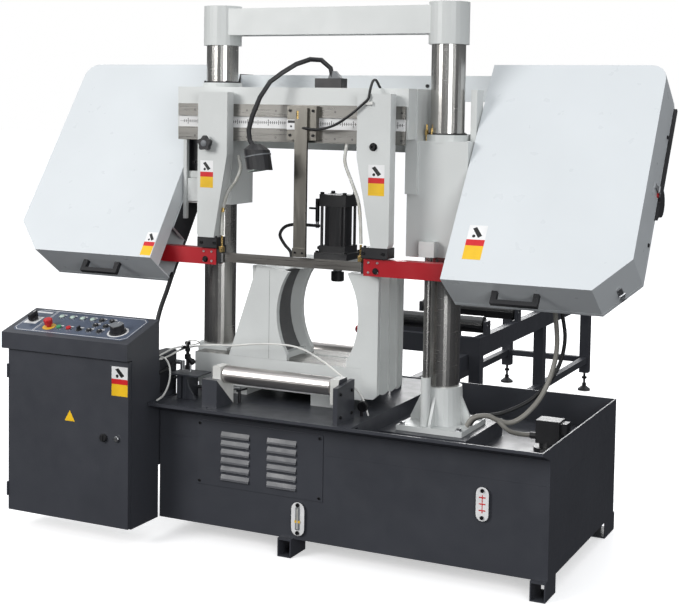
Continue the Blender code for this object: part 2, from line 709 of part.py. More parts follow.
# ---------------------------------------------------------------- saw bow
def side_outline(side):
    """Outline of a wheel cover: the lower outer corner is cut off, the upper one a little."""
    out = COVER_OUT[side]
    points = [
        (COVER_IN, 0),
        (out - 0.132, 0),
        (out, 0.141),
        (out, COVER_H - 0.065),
        (out - 0.005, COVER_H - 0.040),
        (out - 0.019, COVER_H - 0.019),
        (out - 0.040, COVER_H - 0.005),
        (out - 0.065, COVER_H),
        (COVER_IN, COVER_H),
    ]
    return [(side * x, v) for x, v in points]


def cover(side):
    """Folded-sheet shell over a wheel, with its pull handle on the lower edge."""
    outline = side_outline(side)
    shell = cut(
        prism(outline, -COVER_DEEP, 0, bow),
        prism(inset(outline, COVER_WALL), -COVER_DEEP - 0.01, -COVER_WALL, bow),
        bow_box(side * (COVER_IN - 0.01), side * (COVER_IN + 0.005), 0.006, COVER_H - 0.006, -0.3, WALL_N),
    )
    x, low_n, high_n = side * 0.960, -0.086, -0.064
    grip = bow_box(x - 0.095, x + 0.095, -0.054, -0.036, low_n, high_n)
    posts = []
    for post_x in (x - 0.084, x + 0.084):
        posts.append(bow_box(post_x - 0.011, post_x + 0.011, -0.050, 0.002, low_n, high_n))
    return joined(shell, grip, *posts)


def wheel_box(side):
    """Back plate of a wheel housing with its inner side wall, ribs and, on the left, the axle."""
    plate = prism(side_outline(side), PLATE_BACK_N, PLATE_N, bow)
    inner, outer = side * 0.6663, side * 0.680
    inner_n = PLATE_BACK_N + 0.004
    spans = ((0.200, 0.660), (0.790, COVER_H - 0.0065))
    walls = [bow_box(inner, outer, v0, v1, inner_n, WALL_N - 0.003) for v0, v1 in spans]
    ribs = []
    for x, v0 in ((0.720, 0.040), (1.320, 0.130)):
        ribs.append(bow_box(side * (x - 0.010), side * (x + 0.010), v0, 0.960, -0.262, inner_n))
    for v0, v1 in ((0.060, 0.080), (0.760, 0.780)):
        far_x = 1.270 if v0 < 0.1 else 1.325
        ribs.append(bow_box(side * 0.715, side * far_x, v0, v1, -0.250, inner_n))
    outline = [(0.790, 1.845), (0.984, 1.870), (0.984, 2.005), (0.855, 2.005), (0.790, 1.865)]
    beam_pad = prism(outline, side * 0.6603, side * 0.6690, along_x)
    hub = bow(side * WHEEL_X, WHEEL_V, 0)
    if side > 0:
        hole = rod(hub + BOW_N * -0.30, hub + BOW_N * -0.10, 0.050, 24)
        return cut(joined(plate, *walls, *ribs, beam_pad, box_edge()), hole)
    far = BLADE_N + 0.030
    near = BLADE_N - 0.030
    profile = [
        (0, PLATE_BACK_N - 0.010),
        (0.060, PLATE_BACK_N - 0.010),
        (0.060, PLATE_N + 0.004),
        (0.045, near - 0.0005),
        (0.030, near - 0.0005),
        (0.030, far + 0.0005),
        (0.042, far + 0.0005),
        (0.042, far + 0.008),
        (0, far + 0.008),
    ]
    axle = turned(profile, hub, BOW_N, 24)
    tensioner = bow_box(-WHEEL_X - 0.130, -WHEEL_X + 0.130, WHEEL_V - 0.075, WHEEL_V + 0.075, -0.275, inner_n)
    screw_n = -0.246
    screw_end = bow(-COVER_OUT[-1] + 0.020, WHEEL_V, screw_n)
    screw = rod(bow(-WHEEL_X - 0.100, WHEEL_V, screw_n), screw_end, 0.014, 12)
    return joined(plate, *walls, *ribs, beam_pad, axle, tensioner, screw)


def box_edge():
    """Black rim of the right wheel box behind its cover, with a round boss at its lower end."""
    boss_v, boss_n, boss_r = 0.515, PLATE_BACK_N + 0.001, 0.058
    front_n = PLATE_N - 0.001
    outline = [(0.955, boss_n), (0.955, front_n), (0.425, front_n), (boss_v - boss_r, boss_n)]
    for i in range(1, 9):
        angle = math.pi * i / 8
        outline.append((boss_v - boss_r * math.cos(angle), boss_n - boss_r * math.sin(angle)))
    return prism(outline, COVER_OUT[1] - 0.012, EDGE_OUT, lambda v, n, x: bow(x, v, n))


def wheel(side):
    """Flanged band wheel; the drive wheel on the right carries its own shaft."""
    tread = WHEEL_PATH_R - BLADE_T / 2 - 0.0010
    half = 0.030
    outer = [
        (0.060, -half),
        (0.060, -0.004),
        (0.272, -0.004),
        (0.272, -0.014),
        (tread, -0.014),
        (tread, 0.0215),
        (tread + 0.008, 0.0215),
        (tread + 0.008, 0.0275),
        (0.272, 0.0275),
        (0.272, 0.010),
        (0.060, 0.010),
        (0.060, half),
    ]
    if side < 0:
        profile = [(0.0306, -half)] + outer + [(0.0306, half)]
    else:
        shaft = [(0, -0.150), (0.040, -0.150), (0.040, -half)]
        profile = shaft + outer + [(0.030, half), (0.030, 0.036), (0, 0.036)]
    centre = bow(side * WHEEL_X, WHEEL_V, BLADE_N)
    body = turned(profile, centre, BOW_N, WHEEL_SIDES)
    holes = []
    for i in range(5):
        angle = 2 * math.pi * i / 5 + 0.3
        at = centre + X_AXIS * 0.166 * math.cos(angle) + BOW_V * 0.166 * math.sin(angle)
        holes.append(rod(at - BOW_N * 0.02, at + BOW_N * 0.02, 0.060, 14))
    return cut(body, *holes)


def blade():
    """Endless band: round both wheels, flat above, and turned upright between the guides."""
    step = 2 * math.pi / WHEEL_SIDES
    half_turn = WHEEL_SIDES // 2
    stations = []
    for side, start in ((1, -math.pi / 2), (-1, math.pi / 2)):
        for i in range(half_turn + 1):
            angle = start + step * i
            out = X_AXIS * math.cos(angle) + BOW_V * math.sin(angle)
            centre = bow(side * WHEEL_X, WHEEL_V, BLADE_N)
            stations.append((centre + out * WHEEL_PATH_R, BOW_N, out))
    upright = math.pi / 2 - TILT
    steps = 10
    stations += [twisted_station(-WHEEL_X, UPRIGHT_LEFT, upright, i / steps) for i in range(1, steps + 1)]
    stations += [twisted_station(WHEEL_X, UPRIGHT_RIGHT, upright, i / steps) for i in range(steps, 0, -1)]
    edit = bmesh.new()
    rings = []
    for point, across, out in stations:
        ring = []
        for a, b in ((-1, -1), (1, -1), (1, 1), (-1, 1)):
            ring.append(edit.verts.new(point + across * (a * BLADE_W / 2) + out * (b * BLADE_T / 2)))
        rings.append(ring)
    for k in range(len(rings)):
        low, high = rings[k - 1], rings[k]
        for i in (0, 2):
            edit.faces.new((low[i - 1], low[i], high[i], high[i - 1]))
        # Both broad faces are split along matching diagonals, so that they stay apart where the band twists
        edit.faces.new((low[0], low[1], high[1]))
        edit.faces.new((low[0], high[1], high[0]))
        edit.faces.new((low[2], low[3], high[2]))
        edit.faces.new((low[3], high[3], high[2]))
    return object_of(edit)


def twisted_station(wheel_x, guide_x, upright, share):
    """A station of the lower run, the given share of the way from a wheel to its guide."""
    twist = upright * share
    across = BOW_N * math.cos(twist) + BOW_V * math.sin(twist)
    out = BOW_N * math.sin(twist) - BOW_V * math.cos(twist)
    return bow(wheel_x + (guide_x - wheel_x) * share, BLADE_V, BLADE_N), across, out


def slideway_beam():
    """Box beam with its rear stiffener and the channel that covers the blade's upper run."""
    front = box(-0.657, 0.443, 0.305, 0.385, 1.727, 1.935)
    rear = box(-0.420, 0.395, 0.380, 0.510, 1.727, 1.935)
    run_y = BLADE_Y + 2 * WHEEL_PATH_R * math.sin(TILT)
    channel = cut(
        box(-0.655, 0.655, run_y - 0.047, run_y + 0.047, 1.665, 1.750),
        box(-0.700, 0.700, run_y - 0.043, run_y + 0.043, 1.600, 1.746),
    )
    ribs = [box(x - 0.010, x + 0.010, 0.500, run_y - 0.0435, 1.700, 1.830) for x in (-0.300, 0.300)]
    return joined(front, rear, channel, *ribs)


def slide_rails():
    """Two ground rails with the scale strip let in between them."""
    back = 0.305 - GAP
    outline = [
        (back, 1.704),
        (0.290, 1.704),
        (0.290, 1.761),
        (0.298, 1.761),
        (0.298, 1.809),
        (0.290, 1.809),
        (0.290, 1.862),
        (back, 1.862),
    ]
    return prism(outline, -0.645, 0.435, along_x)


def sleeve(side):
    """Guide box that slides on a column; the right one also takes the lift rod."""
    x = side * COLUMN_X
    bore = rod((x, COLUMN_Y, 0.9), (x, COLUMN_Y, 2.1), COLUMN_R + 0.0010, COLUMN_SIDES)
    if side < 0:
        body = box(-0.666, -0.428, 0.3855, 0.5755, 1.418, 1.935)
        ring = rod((x, COLUMN_Y, 1.930), (x, COLUMN_Y, 1.955), 0.088, 28)
        deep = box(-0.648, -0.525, 0.380, 0.410, 1.561, 1.704)
        shallow = box(-0.648, -0.525, 0.380, 0.3905, 1.424, 1.530)
        return cut(joined(body, ring), bore, deep, shallow)
    body = box(0.400, 0.666, 0.405, 0.5755, 1.240, 1.7225)
    web = box(0.3985, 0.450, 0.3855, 0.5755, 1.500, 1.935)
    outer_web = box(0.640, 0.666, 0.500, 0.5755, 1.600, 1.935)
    ring = rod((x, COLUMN_Y, 1.715), (x, COLUMN_Y, 1.748), 0.088, 28)
    lug = box(LIFT_X - 0.034, LIFT_X + 0.034, LIFT_Y - 0.026, 0.415, 1.246, 1.310)
    lift_rod = rod((LIFT_X, LIFT_Y, 0.640), (LIFT_X, LIFT_Y, 1.280), LIFT_ROD_R)
    return joined(cut(joined(body, web, outer_web, ring), bore), lug, lift_rod)


def rear_beam():
    """Hollow box beam that ties the tops of the wheel boxes, open at both ends."""
    return cut(
        box(-0.660, 0.660, 0.860, 0.979, 1.888, 2.001),
        box(-0.900, 0.900, 0.867, 0.971, 1.896, 1.993),
    )


def drive_unit():
    """Worm gearbox behind the drive wheel, with its motor and belt case."""
    low_n = PLATE_BACK_N - GAP
    gearbox = bow_box(0.930, 1.155, WHEEL_V - 0.130, WHEEL_V + 0.130, -0.400, low_n)
    bore = rod(bow(WHEEL_X, WHEEL_V, -0.310), bow(WHEEL_X, WHEEL_V, -0.15), 0.0406, 24)
    belt_case = bow_box(1.150, 1.200, WHEEL_V - 0.080, 1.010, -0.410, -0.264)
    motor = rod(bow(0.560, 0.945, -0.335), bow(1.160, 0.945, -0.335), 0.070, 20)
    motor_end = rod(bow(0.545, 0.945, -0.335), bow(0.570, 0.945, -0.335), 0.060, 20)
    mount = bow_box(0.800, 0.980, 0.900, 0.985, -0.300, low_n)
    return cut(joined(gearbox, belt_case, motor, motor_end, mount), bore)


def guide_arm(side):
    """Tapered arm that hangs from the rails and carries a blade guide."""
    if side < 0:
        outline = [(-0.511, 1.911), (-0.366, 1.911), (-0.366, 1.643)]
        outline += [(-0.428, 1.285), (-0.506, 1.285), (-0.511, 1.300)]
    else:
        outline = [(0.246, 1.911), (0.395, 1.911), (0.395, 1.300)]
        outline += [(0.389, 1.285), (0.316, 1.285), (0.246, 1.650)]
    return prism(outline, 0.235, 0.290 - SLIDE_GAP, along_y)


def guide_block(side):
    """Black guide that holds the blade upright in a slot."""
    x0, x1 = (-0.500, GUIDE_LEFT_X) if side < 0 else (GUIDE_RIGHT_X, 0.355)
    body = box(x0, x1, BLADE_Y - 0.024, BLADE_Y + 0.024, 1.172, 1.250)
    t0, t1 = (-0.512, -0.415) if side < 0 else (0.272, 0.389)
    top = box(t0, t1, 0.240, BLADE_Y + 0.026, 1.2405, 1.285 - GAP)
    slot_top = BLADE_Z + BLADE_W / 2 + 0.0035
    slot = box(x0 - 0.1, x1 + 0.1, BLADE_Y - 0.002, BLADE_Y + 0.002, 1.100, slot_top)
    return cut(joined(body, top), slot)


def blade_guard(side):
    """Red channel over the blade, from the guide to inside the wheel cover."""
    x0, x1 = (-0.800, -0.428) if side < 0 else (0.275, 0.800)
    b0, b1 = (-0.5015, -0.400) if side < 0 else (0.200, 0.3565)
    return cut(
        box(x0, x1, BLADE_Y - 0.0275, BLADE_Y + 0.0275, 1.165, 1.2350),
        box(x0 - 0.1, x1 + 0.1, BLADE_Y - 0.0245, BLADE_Y + 0.0245, 1.100, 1.2320),
        box(b0, b1, BLADE_Y - 0.0245, BLADE_Y + 0.0245, 1.100, 1.300),
    )


def star_knob():
    """Five-lobed clamping knob on its screw."""
    centre = Vector((-0.458, 0, 1.692))
    outline = []
    for i in range(40):
        angle = 2 * math.pi * i / 40
        radius = 0.0290 + 0.0045 * math.cos(5 * angle)
        outline.append((centre.x + radius * math.sin(angle), centre.z + radius * math.cos(angle)))
    head = prism(outline, 0.196, 0.216, along_y)
    stem = rod((centre.x, 0.210, centre.z), (centre.x, 0.2345, centre.z), 0.014, 16)
    return joined(head, stem)


def feeler_slider():
    return box(-0.090, 0.046, 0.2620, 0.290 - SLIDE_GAP, 1.715, 1.858)


def feeler_bar():
    """Flat bar that hangs from the slider to sense the top of the work."""
    bar = box(-0.048, 0.010, 0.2490, 0.2615, 1.225, 1.850)
    foot = box(-0.050, 0.012, 0.2440, 0.2500, 1.225, 1.262)
    return joined(bar, foot)


def lamp():
    """Work lamp: magnetic base, bent neck and a round head."""
    base = box(0.008, 0.130, 0.320, 0.380, 1.935 + GAP, 1.975)
    route = [
        (0.078, 0.350, 1.970),
        (0.070, 0.342, 2.018),
        (0.037, 0.320, 2.051),
        (-0.005, 0.300, 2.053),
        (-0.055, 0.270, 2.032),
        (-0.105, 0.240, 1.995),
        (-0.146, 0.210, 1.956),
        (-0.176, 0.178, 1.890),
        (-0.196, 0.150, 1.810),
        (-0.203, 0.135, 1.755),
        (-0.194, 0.130, 1.712),
        (-0.170, 0.127, 1.680),
    ]
    neck = tube(route, 0.0105, 8)
    profile = [(0, 0.020), (0.020, 0.020), (0.042, 0.004), (0.055, -0.006), (0.055, -0.090), (0, -0.090)]
    axis = Vector((-0.20, 0.04, 0.98)).normalized()
    head = turned(profile, Vector((-0.159, 0.125, 1.680)), axis, 20)
    return joined(base, neck, head)


def tube(points, radius, sides):
    """A round tube along the points."""
    edit = bmesh.new()
    points = [Vector(p) for p in points]
    rings = []
    for i, point in enumerate(points):
        ahead, back = points[min(i + 1, len(points) - 1)], points[max(i - 1, 0)]
        along = (ahead - back).normalized()
        side = along.cross(Y_AXIS).normalized()
        up = side.cross(along)
        ring = []
        for k in range(sides):
            angle = 2 * math.pi * k / sides
            ring.append(edit.verts.new(point + (side * math.cos(angle) + up * math.sin(angle)) * radius))
        rings.append(ring)
    edit.faces.new(rings[0])
    edit.faces.new(rings[-1][::-1])
    for low, high in zip(rings, rings[1:]):
        for k in range(sides):
            edit.faces.new((low[k - 1], low[k], high[k], high[k - 1]))
    return object_of(edit)


# ---------------------------------------------------------------- roller table
def table_frame():
    """Welded table: rails, legs on levelling feet, stretchers and the links to the saw's base."""
    rail_low, rail_high, leg = 0.570, 0.670, 0.060
    parts = []
    for x0, x1 in ((TABLE_LEFT, TABLE_LEFT + 0.045), (TABLE_RIGHT - 0.045, TABLE_RIGHT)):
        parts.append(box(x0, x1, TABLE_FRONT, BACK_Y - 0.008, rail_low, rail_high))
    for y in (TABLE_FRONT + 0.001, BACK_Y - 0.058):
        span = (TABLE_LEFT + 0.01, TABLE_RIGHT - 0.01)
        parts.append(box(*span, y, y + 0.045, rail_low + 0.002, rail_high - 0.002))
    for y in (TABLE_FRONT + 0.002, 2.930, BACK_Y - leg - 0.012):
        for x in (TABLE_LEFT + 0.001, TABLE_RIGHT - leg - 0.001):
            parts.append(box(x, x + leg, y, y + leg, 0.120, rail_low + 0.01))
            centre = Vector((x + leg / 2, y + leg / 2, 0))
            profile = [(0, 0), (0.042, 0), (0.042, 0.008), (0.014, 0.030), (0.014, 0.048)]
            profile += [(0.008, 0.048), (0.008, 0.125), (0, 0.125)]
            parts.append(turned(profile, centre, Z_AXIS, 12))
    for x in (TABLE_LEFT + 0.008, TABLE_RIGHT - 0.048):
        parts.append(box(x, x + 0.040, TABLE_FRONT + 0.02, BACK_Y - 0.03, 0.185, 0.225))
    for y in (TABLE_FRONT + 0.012, BACK_Y - 0.062):
        parts.append(box(TABLE_LEFT + 0.02, TABLE_RIGHT - 0.02, y, y + 0.040, 0.187, 0.223))
    for x in (-0.300, 0.130):
        parts.append(box(x, x + 0.040, BASE_BACK + GAP, TABLE_FRONT + 0.02, 0.500, 0.580))
    frame = joined(*parts)
    blocks, sockets = [], []
    for y in roller_places():
        for x0, x1 in ((TABLE_LEFT + 0.002, TABLE_LEFT + 0.022), (TABLE_RIGHT - 0.022, TABLE_RIGHT - 0.002)):
            blocks.append(box(x0, x1, y - 0.030, y + 0.030, rail_high - 0.003, TABLE_ROLLER_Z + 0.022))
        left_end, right_end = (TABLE_LEFT - 0.1, y, TABLE_ROLLER_Z), (TABLE_RIGHT + 0.1, y, TABLE_ROLLER_Z)
        sockets.append(rod(left_end, right_end, 0.0125, 12))
    return cut(joined(frame, *blocks, pendant_post()), *sockets)


def pendant_post():
    """Upright from the table's left rail to the pendant box."""
    return joined(
        box(TABLE_LEFT - 0.030, TABLE_LEFT + 0.005, TABLE_FRONT + 0.010, TABLE_FRONT + 0.045, 0.575, 0.600),
        box(TABLE_LEFT - 0.030, TABLE_LEFT - 0.024, TABLE_FRONT + 0.010, TABLE_FRONT + 0.045, 0.575, 0.760),
    )


def roller_places():
    return [FIRST_ROLLER_Y + ROLLER_PITCH * i for i in range(ROLLER_COUNT)]


def table_roller(y):
    """Roller tube with its spindle."""
    left, right, radius = TABLE_LEFT + 0.026, TABLE_RIGHT - 0.026, TABLE_ROLLER_R
    length = right - left
    profile = [
        (0, -0.022),
        (0.0120, -0.022),
        (0.0120, 0),
        (radius - 0.002, 0),
        (radius, 0.002),
        (radius, length - 0.002),
        (radius - 0.002, length),
        (0.0120, length),
        (0.0120, length + 0.022),
        (0, length + 0.022),
    ]
    return turned(profile, Vector((left, y, TABLE_ROLLER_Z)), X_AXIS, 20)


def pendant_box():
    """Control box beside the table, its buttons facing left."""
    x = PENDANT_X
    case = box(x - 0.050, x, PENDANT_Y - 0.038, PENDANT_Y + 0.038, 0.610, 0.785)
    hole = rod((x - 0.1, PENDANT_Y, 0.655), (x - 0.020, PENDANT_Y, 0.655), 0.0103, 14)
    return cut(case, hole)


def pendant_stop():
    return emergency_stop(Vector((PENDANT_X - 0.050, PENDANT_Y, 0.655)), -X_AXIS)


# ---------------------------------------------------------------- assembly
def make_pivots():
    pivot("machine", (0, 0, 0))
    pivot("saw_bow", (0, COLUMN_Y, BLADE_Z), "machine")
    pivot("left_guide_carriage", (-0.4385, 0.262, 1.600), "saw_bow")
    pivot("star_knob_screw", (-0.458, 0.2345, 1.692), "left_guide_carriage")
    pivot("feeler", (-0.019, 0.255, 1.540), "saw_bow")
    for side, name in ((-1, "left"), (1, "right")):
        pivot(f"{name}_cover_hinge", bow(side * HINGE_X, COVER_H, -COVER_DEEP), "saw_bow")
    pivot("idler_wheel_axis", bow(-WHEEL_X, WHEEL_V, BLADE_N), "saw_bow")
    pivot("drive_wheel_axis", bow(WHEEL_X, WHEEL_V, BLADE_N), "saw_bow")
    pivot("vise_slide", (-0.200, 0.450, BED_Z), "machine")
    pivot("clamp_slide", (CLAMP_X, CLAMP_Y, 1.082), "vise_slide")
    pivot("front_roller_axis", (0, ROLLER_Y, FRONT_ROLLER_Z), "machine")
    for i, y in enumerate(roller_places()):
        pivot(f"table_roller_{i + 1}_axis", (0, y, TABLE_ROLLER_Z), "machine")
    pivot("door_hinge", (CABINET_LEFT, DOOR_FRONT - 0.002, 0.430), "machine")
    pivot("door_knob_axis", (KNOB_X, DOOR_FRONT, KNOB_Z), "door_hinge")
    pivot("main_switch_axis", panel(*SWITCH), "machine")
    pivot("speed_knob_axis", panel(*SPEED), "machine")
    pivot("selector_axis", panel(*SELECTOR), "machine")
    pivot("emergency_stop_axis", panel(*ESTOP), "machine")
    pivot("pendant_stop_axis", (PENDANT_X - 0.050, PENDANT_Y, 0.655), "machine")
    for name, at in BUTTONS.items():
        pivot(f"{name}_axis", panel(*at), "machine")


def make_base():
    node("tank", tank(), slate(), "machine")
    node("tray", tray(), slate(), "machine")
    node("vent_panel", vent_panel(), slate(), "machine")
    node("right_column_base", right_column_base(), white(), "machine")
    node("left_column", column(-1), chrome(), "machine")
    node("right_column", column(1), chrome(), "machine")
    node("top_beam", top_beam(), white(), "machine")
    node("lift_cylinder", lift_cylinder(), white(), "machine")
    node("bed", bed(), grey(), "machine")
    node("fixed_jaw", fixed_jaw(), grey(), "machine")
    node("coolant_pump", coolant_pump(), black(), "machine")
    node("front_roller", front_roller(), chrome(), "front_roller_axis")
    node("moving_jaw", moving_jaw(), grey(), "vise_slide")
    node("clamp_cylinder", clamp_cylinder(), dark_iron(), "vise_slide")
    node("clamp_ram", clamp_ram(), dark_iron(), "clamp_slide")


def make_cabinet():
    node("cabinet", cabinet(), slate(), "machine")
    node("cabinet_door", cabinet_door(), slate(), "door_hinge")
    node("door_knob", door_knob(), black(), "door_knob_axis")
    node("main_switch", main_switch(), black(), "main_switch_axis")
    node("speed_knob", speed_knob(), grey_plastic(), "speed_knob_axis")
    node("selector", selector(), black(), "selector_axis")
    node("emergency_stop", emergency_stop(panel(*ESTOP), PANEL_N), red_plastic(), "emergency_stop_axis")
    caps = {"button_start": green(), "button_stop": red_plastic()}
    for name, at in BUTTONS.items():
        node(name, push_button(at), caps.get(name, black()), f"{name}_axis")


def make_bow():
    node("slideway_beam", slideway_beam(), grey(), "saw_bow")
    node("slide_rails", slide_rails(), steel(), "saw_bow")
    node("rear_beam", rear_beam(), white(), "saw_bow")
    node("blade", blade(), steel(), "saw_bow")
    node("drive_unit", drive_unit(), dark_iron(), "saw_bow")
    node("lamp", lamp(), black(), "saw_bow")
    node("feeler_slider", feeler_slider(), steel(), "saw_bow")
    node("feeler_bar", feeler_bar(), steel(), "feeler")
    node("star_knob", star_knob(), black(), "star_knob_screw")
    for side, name, carriage in ((-1, "left", "left_guide_carriage"), (1, "right", "saw_bow")):
        node(f"{name}_sleeve", sleeve(side), grey(), "saw_bow")
        node(f"{name}_wheel_box", wheel_box(side), white(), "saw_bow")
        node(f"{name}_cover", cover(side), white(), f"{name}_cover_hinge")
        node(f"{name}_guide_arm", guide_arm(side), grey(), carriage)
        node(f"{name}_blade_guide", guide_block(side), dark_iron(), carriage)
        node(f"{name}_blade_guard", blade_guard(side), red(), carriage)
    node("idler_wheel", wheel(-1), dark_iron(), "idler_wheel_axis")
    node("drive_wheel", wheel(1), dark_iron(), "drive_wheel_axis")


def make_table():
    node("table_frame", table_frame(), slate(), "machine")
    for i, y in enumerate(roller_places()):
        node(f"table_roller_{i + 1}", table_roller(y), steel(), f"table_roller_{i + 1}_axis")
    node("pendant_box", pendant_box(), yellow(), "machine")
    node("pendant_stop", pendant_stop(), red_plastic(), "pendant_stop_axis")


def main():
    for thing in list(bpy.data.objects):
        bpy.data.objects.remove(thing)
    make_pivots()
    make_base()
    make_cabinet()
    make_bow()
    make_table()


main()
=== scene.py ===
"""Looks of the horizontal band saw: camera, light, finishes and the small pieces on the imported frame.

Pieces are drawn as the machine's own drawing has them: x = 0 midway between the columns, y = 0 on the
front edge of the tray, z = 0 on the floor, in metres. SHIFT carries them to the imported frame.
"""

import itertools
from math import atan2, cos, pi, radians, sin

import bmesh
import bpy
from mathutils import Matrix, Vector


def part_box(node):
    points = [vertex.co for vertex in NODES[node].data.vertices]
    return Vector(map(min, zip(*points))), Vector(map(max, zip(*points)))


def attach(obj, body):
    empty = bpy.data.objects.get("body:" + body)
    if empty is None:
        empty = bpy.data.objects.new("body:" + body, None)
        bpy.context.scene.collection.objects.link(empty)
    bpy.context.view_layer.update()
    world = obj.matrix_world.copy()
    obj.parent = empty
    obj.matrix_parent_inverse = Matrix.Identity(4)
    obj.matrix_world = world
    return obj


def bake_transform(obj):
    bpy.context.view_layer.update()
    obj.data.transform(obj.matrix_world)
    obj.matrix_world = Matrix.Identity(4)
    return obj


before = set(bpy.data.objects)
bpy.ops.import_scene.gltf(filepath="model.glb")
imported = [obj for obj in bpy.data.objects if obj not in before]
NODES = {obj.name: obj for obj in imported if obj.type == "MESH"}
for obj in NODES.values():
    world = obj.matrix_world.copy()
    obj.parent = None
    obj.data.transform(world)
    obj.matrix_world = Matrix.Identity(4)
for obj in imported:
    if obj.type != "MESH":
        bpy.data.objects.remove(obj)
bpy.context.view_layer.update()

X_AXIS, Y_AXIS, Z_AXIS = Vector((1, 0, 0)), Vector((0, 1, 0)), Vector((0, 0, 1))
CONSOLE_LIP_Y = -0.15  # the foremost point, in the drawing
SHIFT = Vector((0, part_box("cabinet")[0].y - CONSOLE_LIP_Y, 0))


def drawn_box(node):
    """A CAD node's lowest and highest corners in the drawing's coordinates."""
    low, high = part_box(node)
    return low - SHIFT, high - SHIFT


# Planes that the pieces are drawn on, read from the frame
TILT = radians(34.5)
COVER_HEIGHT = 1.03
BOW_V = Vector((0, sin(TILT), cos(TILT)))
BOW_N = Vector((0, -cos(TILT), sin(TILT)))
FACE_Y = drawn_box("right_cover")[0].y
FACE_Z = drawn_box("right_cover")[1].z - COVER_HEIGHT * cos(TILT)
COVER_OUT = drawn_box("right_cover")[1].x

SLOPE_RISE, SLOPE_RUN = 0.073, 0.237
SLOPE = atan2(SLOPE_RISE, SLOPE_RUN)
PANEL_N = Vector((0, -sin(SLOPE), cos(SLOPE)))
HOOD_TOP = drawn_box("cabinet")[1].z
LIP_Z = HOOD_TOP - SLOPE_RISE

COLUMN_RADIUS = 0.071
COLUMN_X = drawn_box("right_column")[1].x - COLUMN_RADIUS
COLUMN_Y = (drawn_box("right_column")[0].y + drawn_box("right_column")[1].y) / 2


def bow(x, v, n):
    """The point x along the machine, v up a wheel cover's face and n out of it."""
    return Vector((x, FACE_Y, FACE_Z)) + BOW_V * v + BOW_N * n


def panel(x, s, h=0.0):
    """The point x along the console, s up its slope from the lip and h above it."""
    up_slope = Vector((0, cos(SLOPE), sin(SLOPE)))
    return Vector((x, CONSOLE_LIP_Y, LIP_Z)) + up_slope * s + PANEL_N * h


def along_x(a, b, h):
    return Vector((h, a, b))


def along_y(a, b, h):
    return Vector((a, h, b))


def along_z(a, b, h):
    return Vector((a, b, h))


WHEEL_X, WHEEL_V = 1.0425, 0.4117
WHEEL_AXIS = bow(0, WHEEL_V, -0.1436)
DOOR_Y, TANK_Y, VENT_PANEL_Y = -0.136, 0.086, 0.0947
GUIDE_ARM_Y = drawn_box("left_guide_arm")[0].y
KNOB_AT = (-0.729, 0.455)
STAR_KNOB_X, STAR_KNOB_Z = -0.458, 1.692
CLAMP_X, CLAMP_Y, CLAMP_PORT_Y = -0.0925, 0.78, 0.76
BLACK_BUTTONS = ("saw_up", "saw_down", "vise_open", "vise_close", "clamp_up", "clamp_down")


# ---- shader nodes
def set_inputs(node, **values):
    """Values on the node's own sockets; an underscore stands for a space."""
    for name, value in values.items():
        node.inputs[name.replace("_", " ")].default_value = value
    return node


def add_node(tree, kind, **values):
    return set_inputs(tree.nodes.new("ShaderNode" + kind), **values)


def colour_ramp(tree, value, *stops):
    """A colour that follows the value through the stops, (position, colour) each."""
    node = add_node(tree, "ValToRGB")
    elements = node.color_ramp.elements
    for i, (position, colour) in enumerate(stops):
        element = elements[i] if i < 2 else elements.new(position)
        element.position = position
        element.color = (*colour, 1)
    tree.links.new(value, node.inputs["Fac"])
    return node.outputs["Color"]


# ---- camera, light and floor
CAMERA_AT = Vector((2.5759, -4.7788, 1.8597))
YAW, PITCH, ROLL = radians(25.62), radians(3.48), radians(0.9)
LENS, SHIFT_UP = 71.825, -0.1694
SKY_POWER = 0.8
SKY_STOPS = ((0.47, (0.06, 0.06, 0.065)), (0.95, (0.95, 0.97, 1.0)), (0.6, (0.42, 0.43, 0.44)))


def new_object(name, data):
    thing = bpy.data.objects.new(name, data)
    bpy.context.collection.objects.link(thing)
    return thing


def make_camera():
    ahead = Vector((-sin(YAW), cos(YAW), 0))
    forward = ahead * cos(PITCH) - Z_AXIS * sin(PITCH)
    level = Vector((cos(YAW), sin(YAW), 0))
    upright = level.cross(forward)
    right = level * cos(ROLL) + upright * sin(ROLL)
    up = upright * cos(ROLL) - level * sin(ROLL)
    camera = new_object("camera", bpy.data.cameras.new("camera"))
    turn = Matrix((right, up, -forward)).transposed().to_4x4()
    camera.matrix_world = Matrix.Translation(CAMERA_AT + SHIFT) @ turn
    camera.data.lens = LENS
    camera.data.sensor_width = 36.0
    camera.data.shift_y = SHIFT_UP
    bpy.context.scene.camera = camera


def area_light(name, at, size, power, colour):
    light = new_object(name, bpy.data.lights.new(name, "AREA"))
    light.data.shape = "DISK"
    light.data.size = size
    light.data.energy = power
    light.data.color = colour
    light.location = at
    light.rotation_euler = (Vector((0, -1.0, 0.9)) - Vector(at)).to_track_quat("-Z", "Y").to_euler()


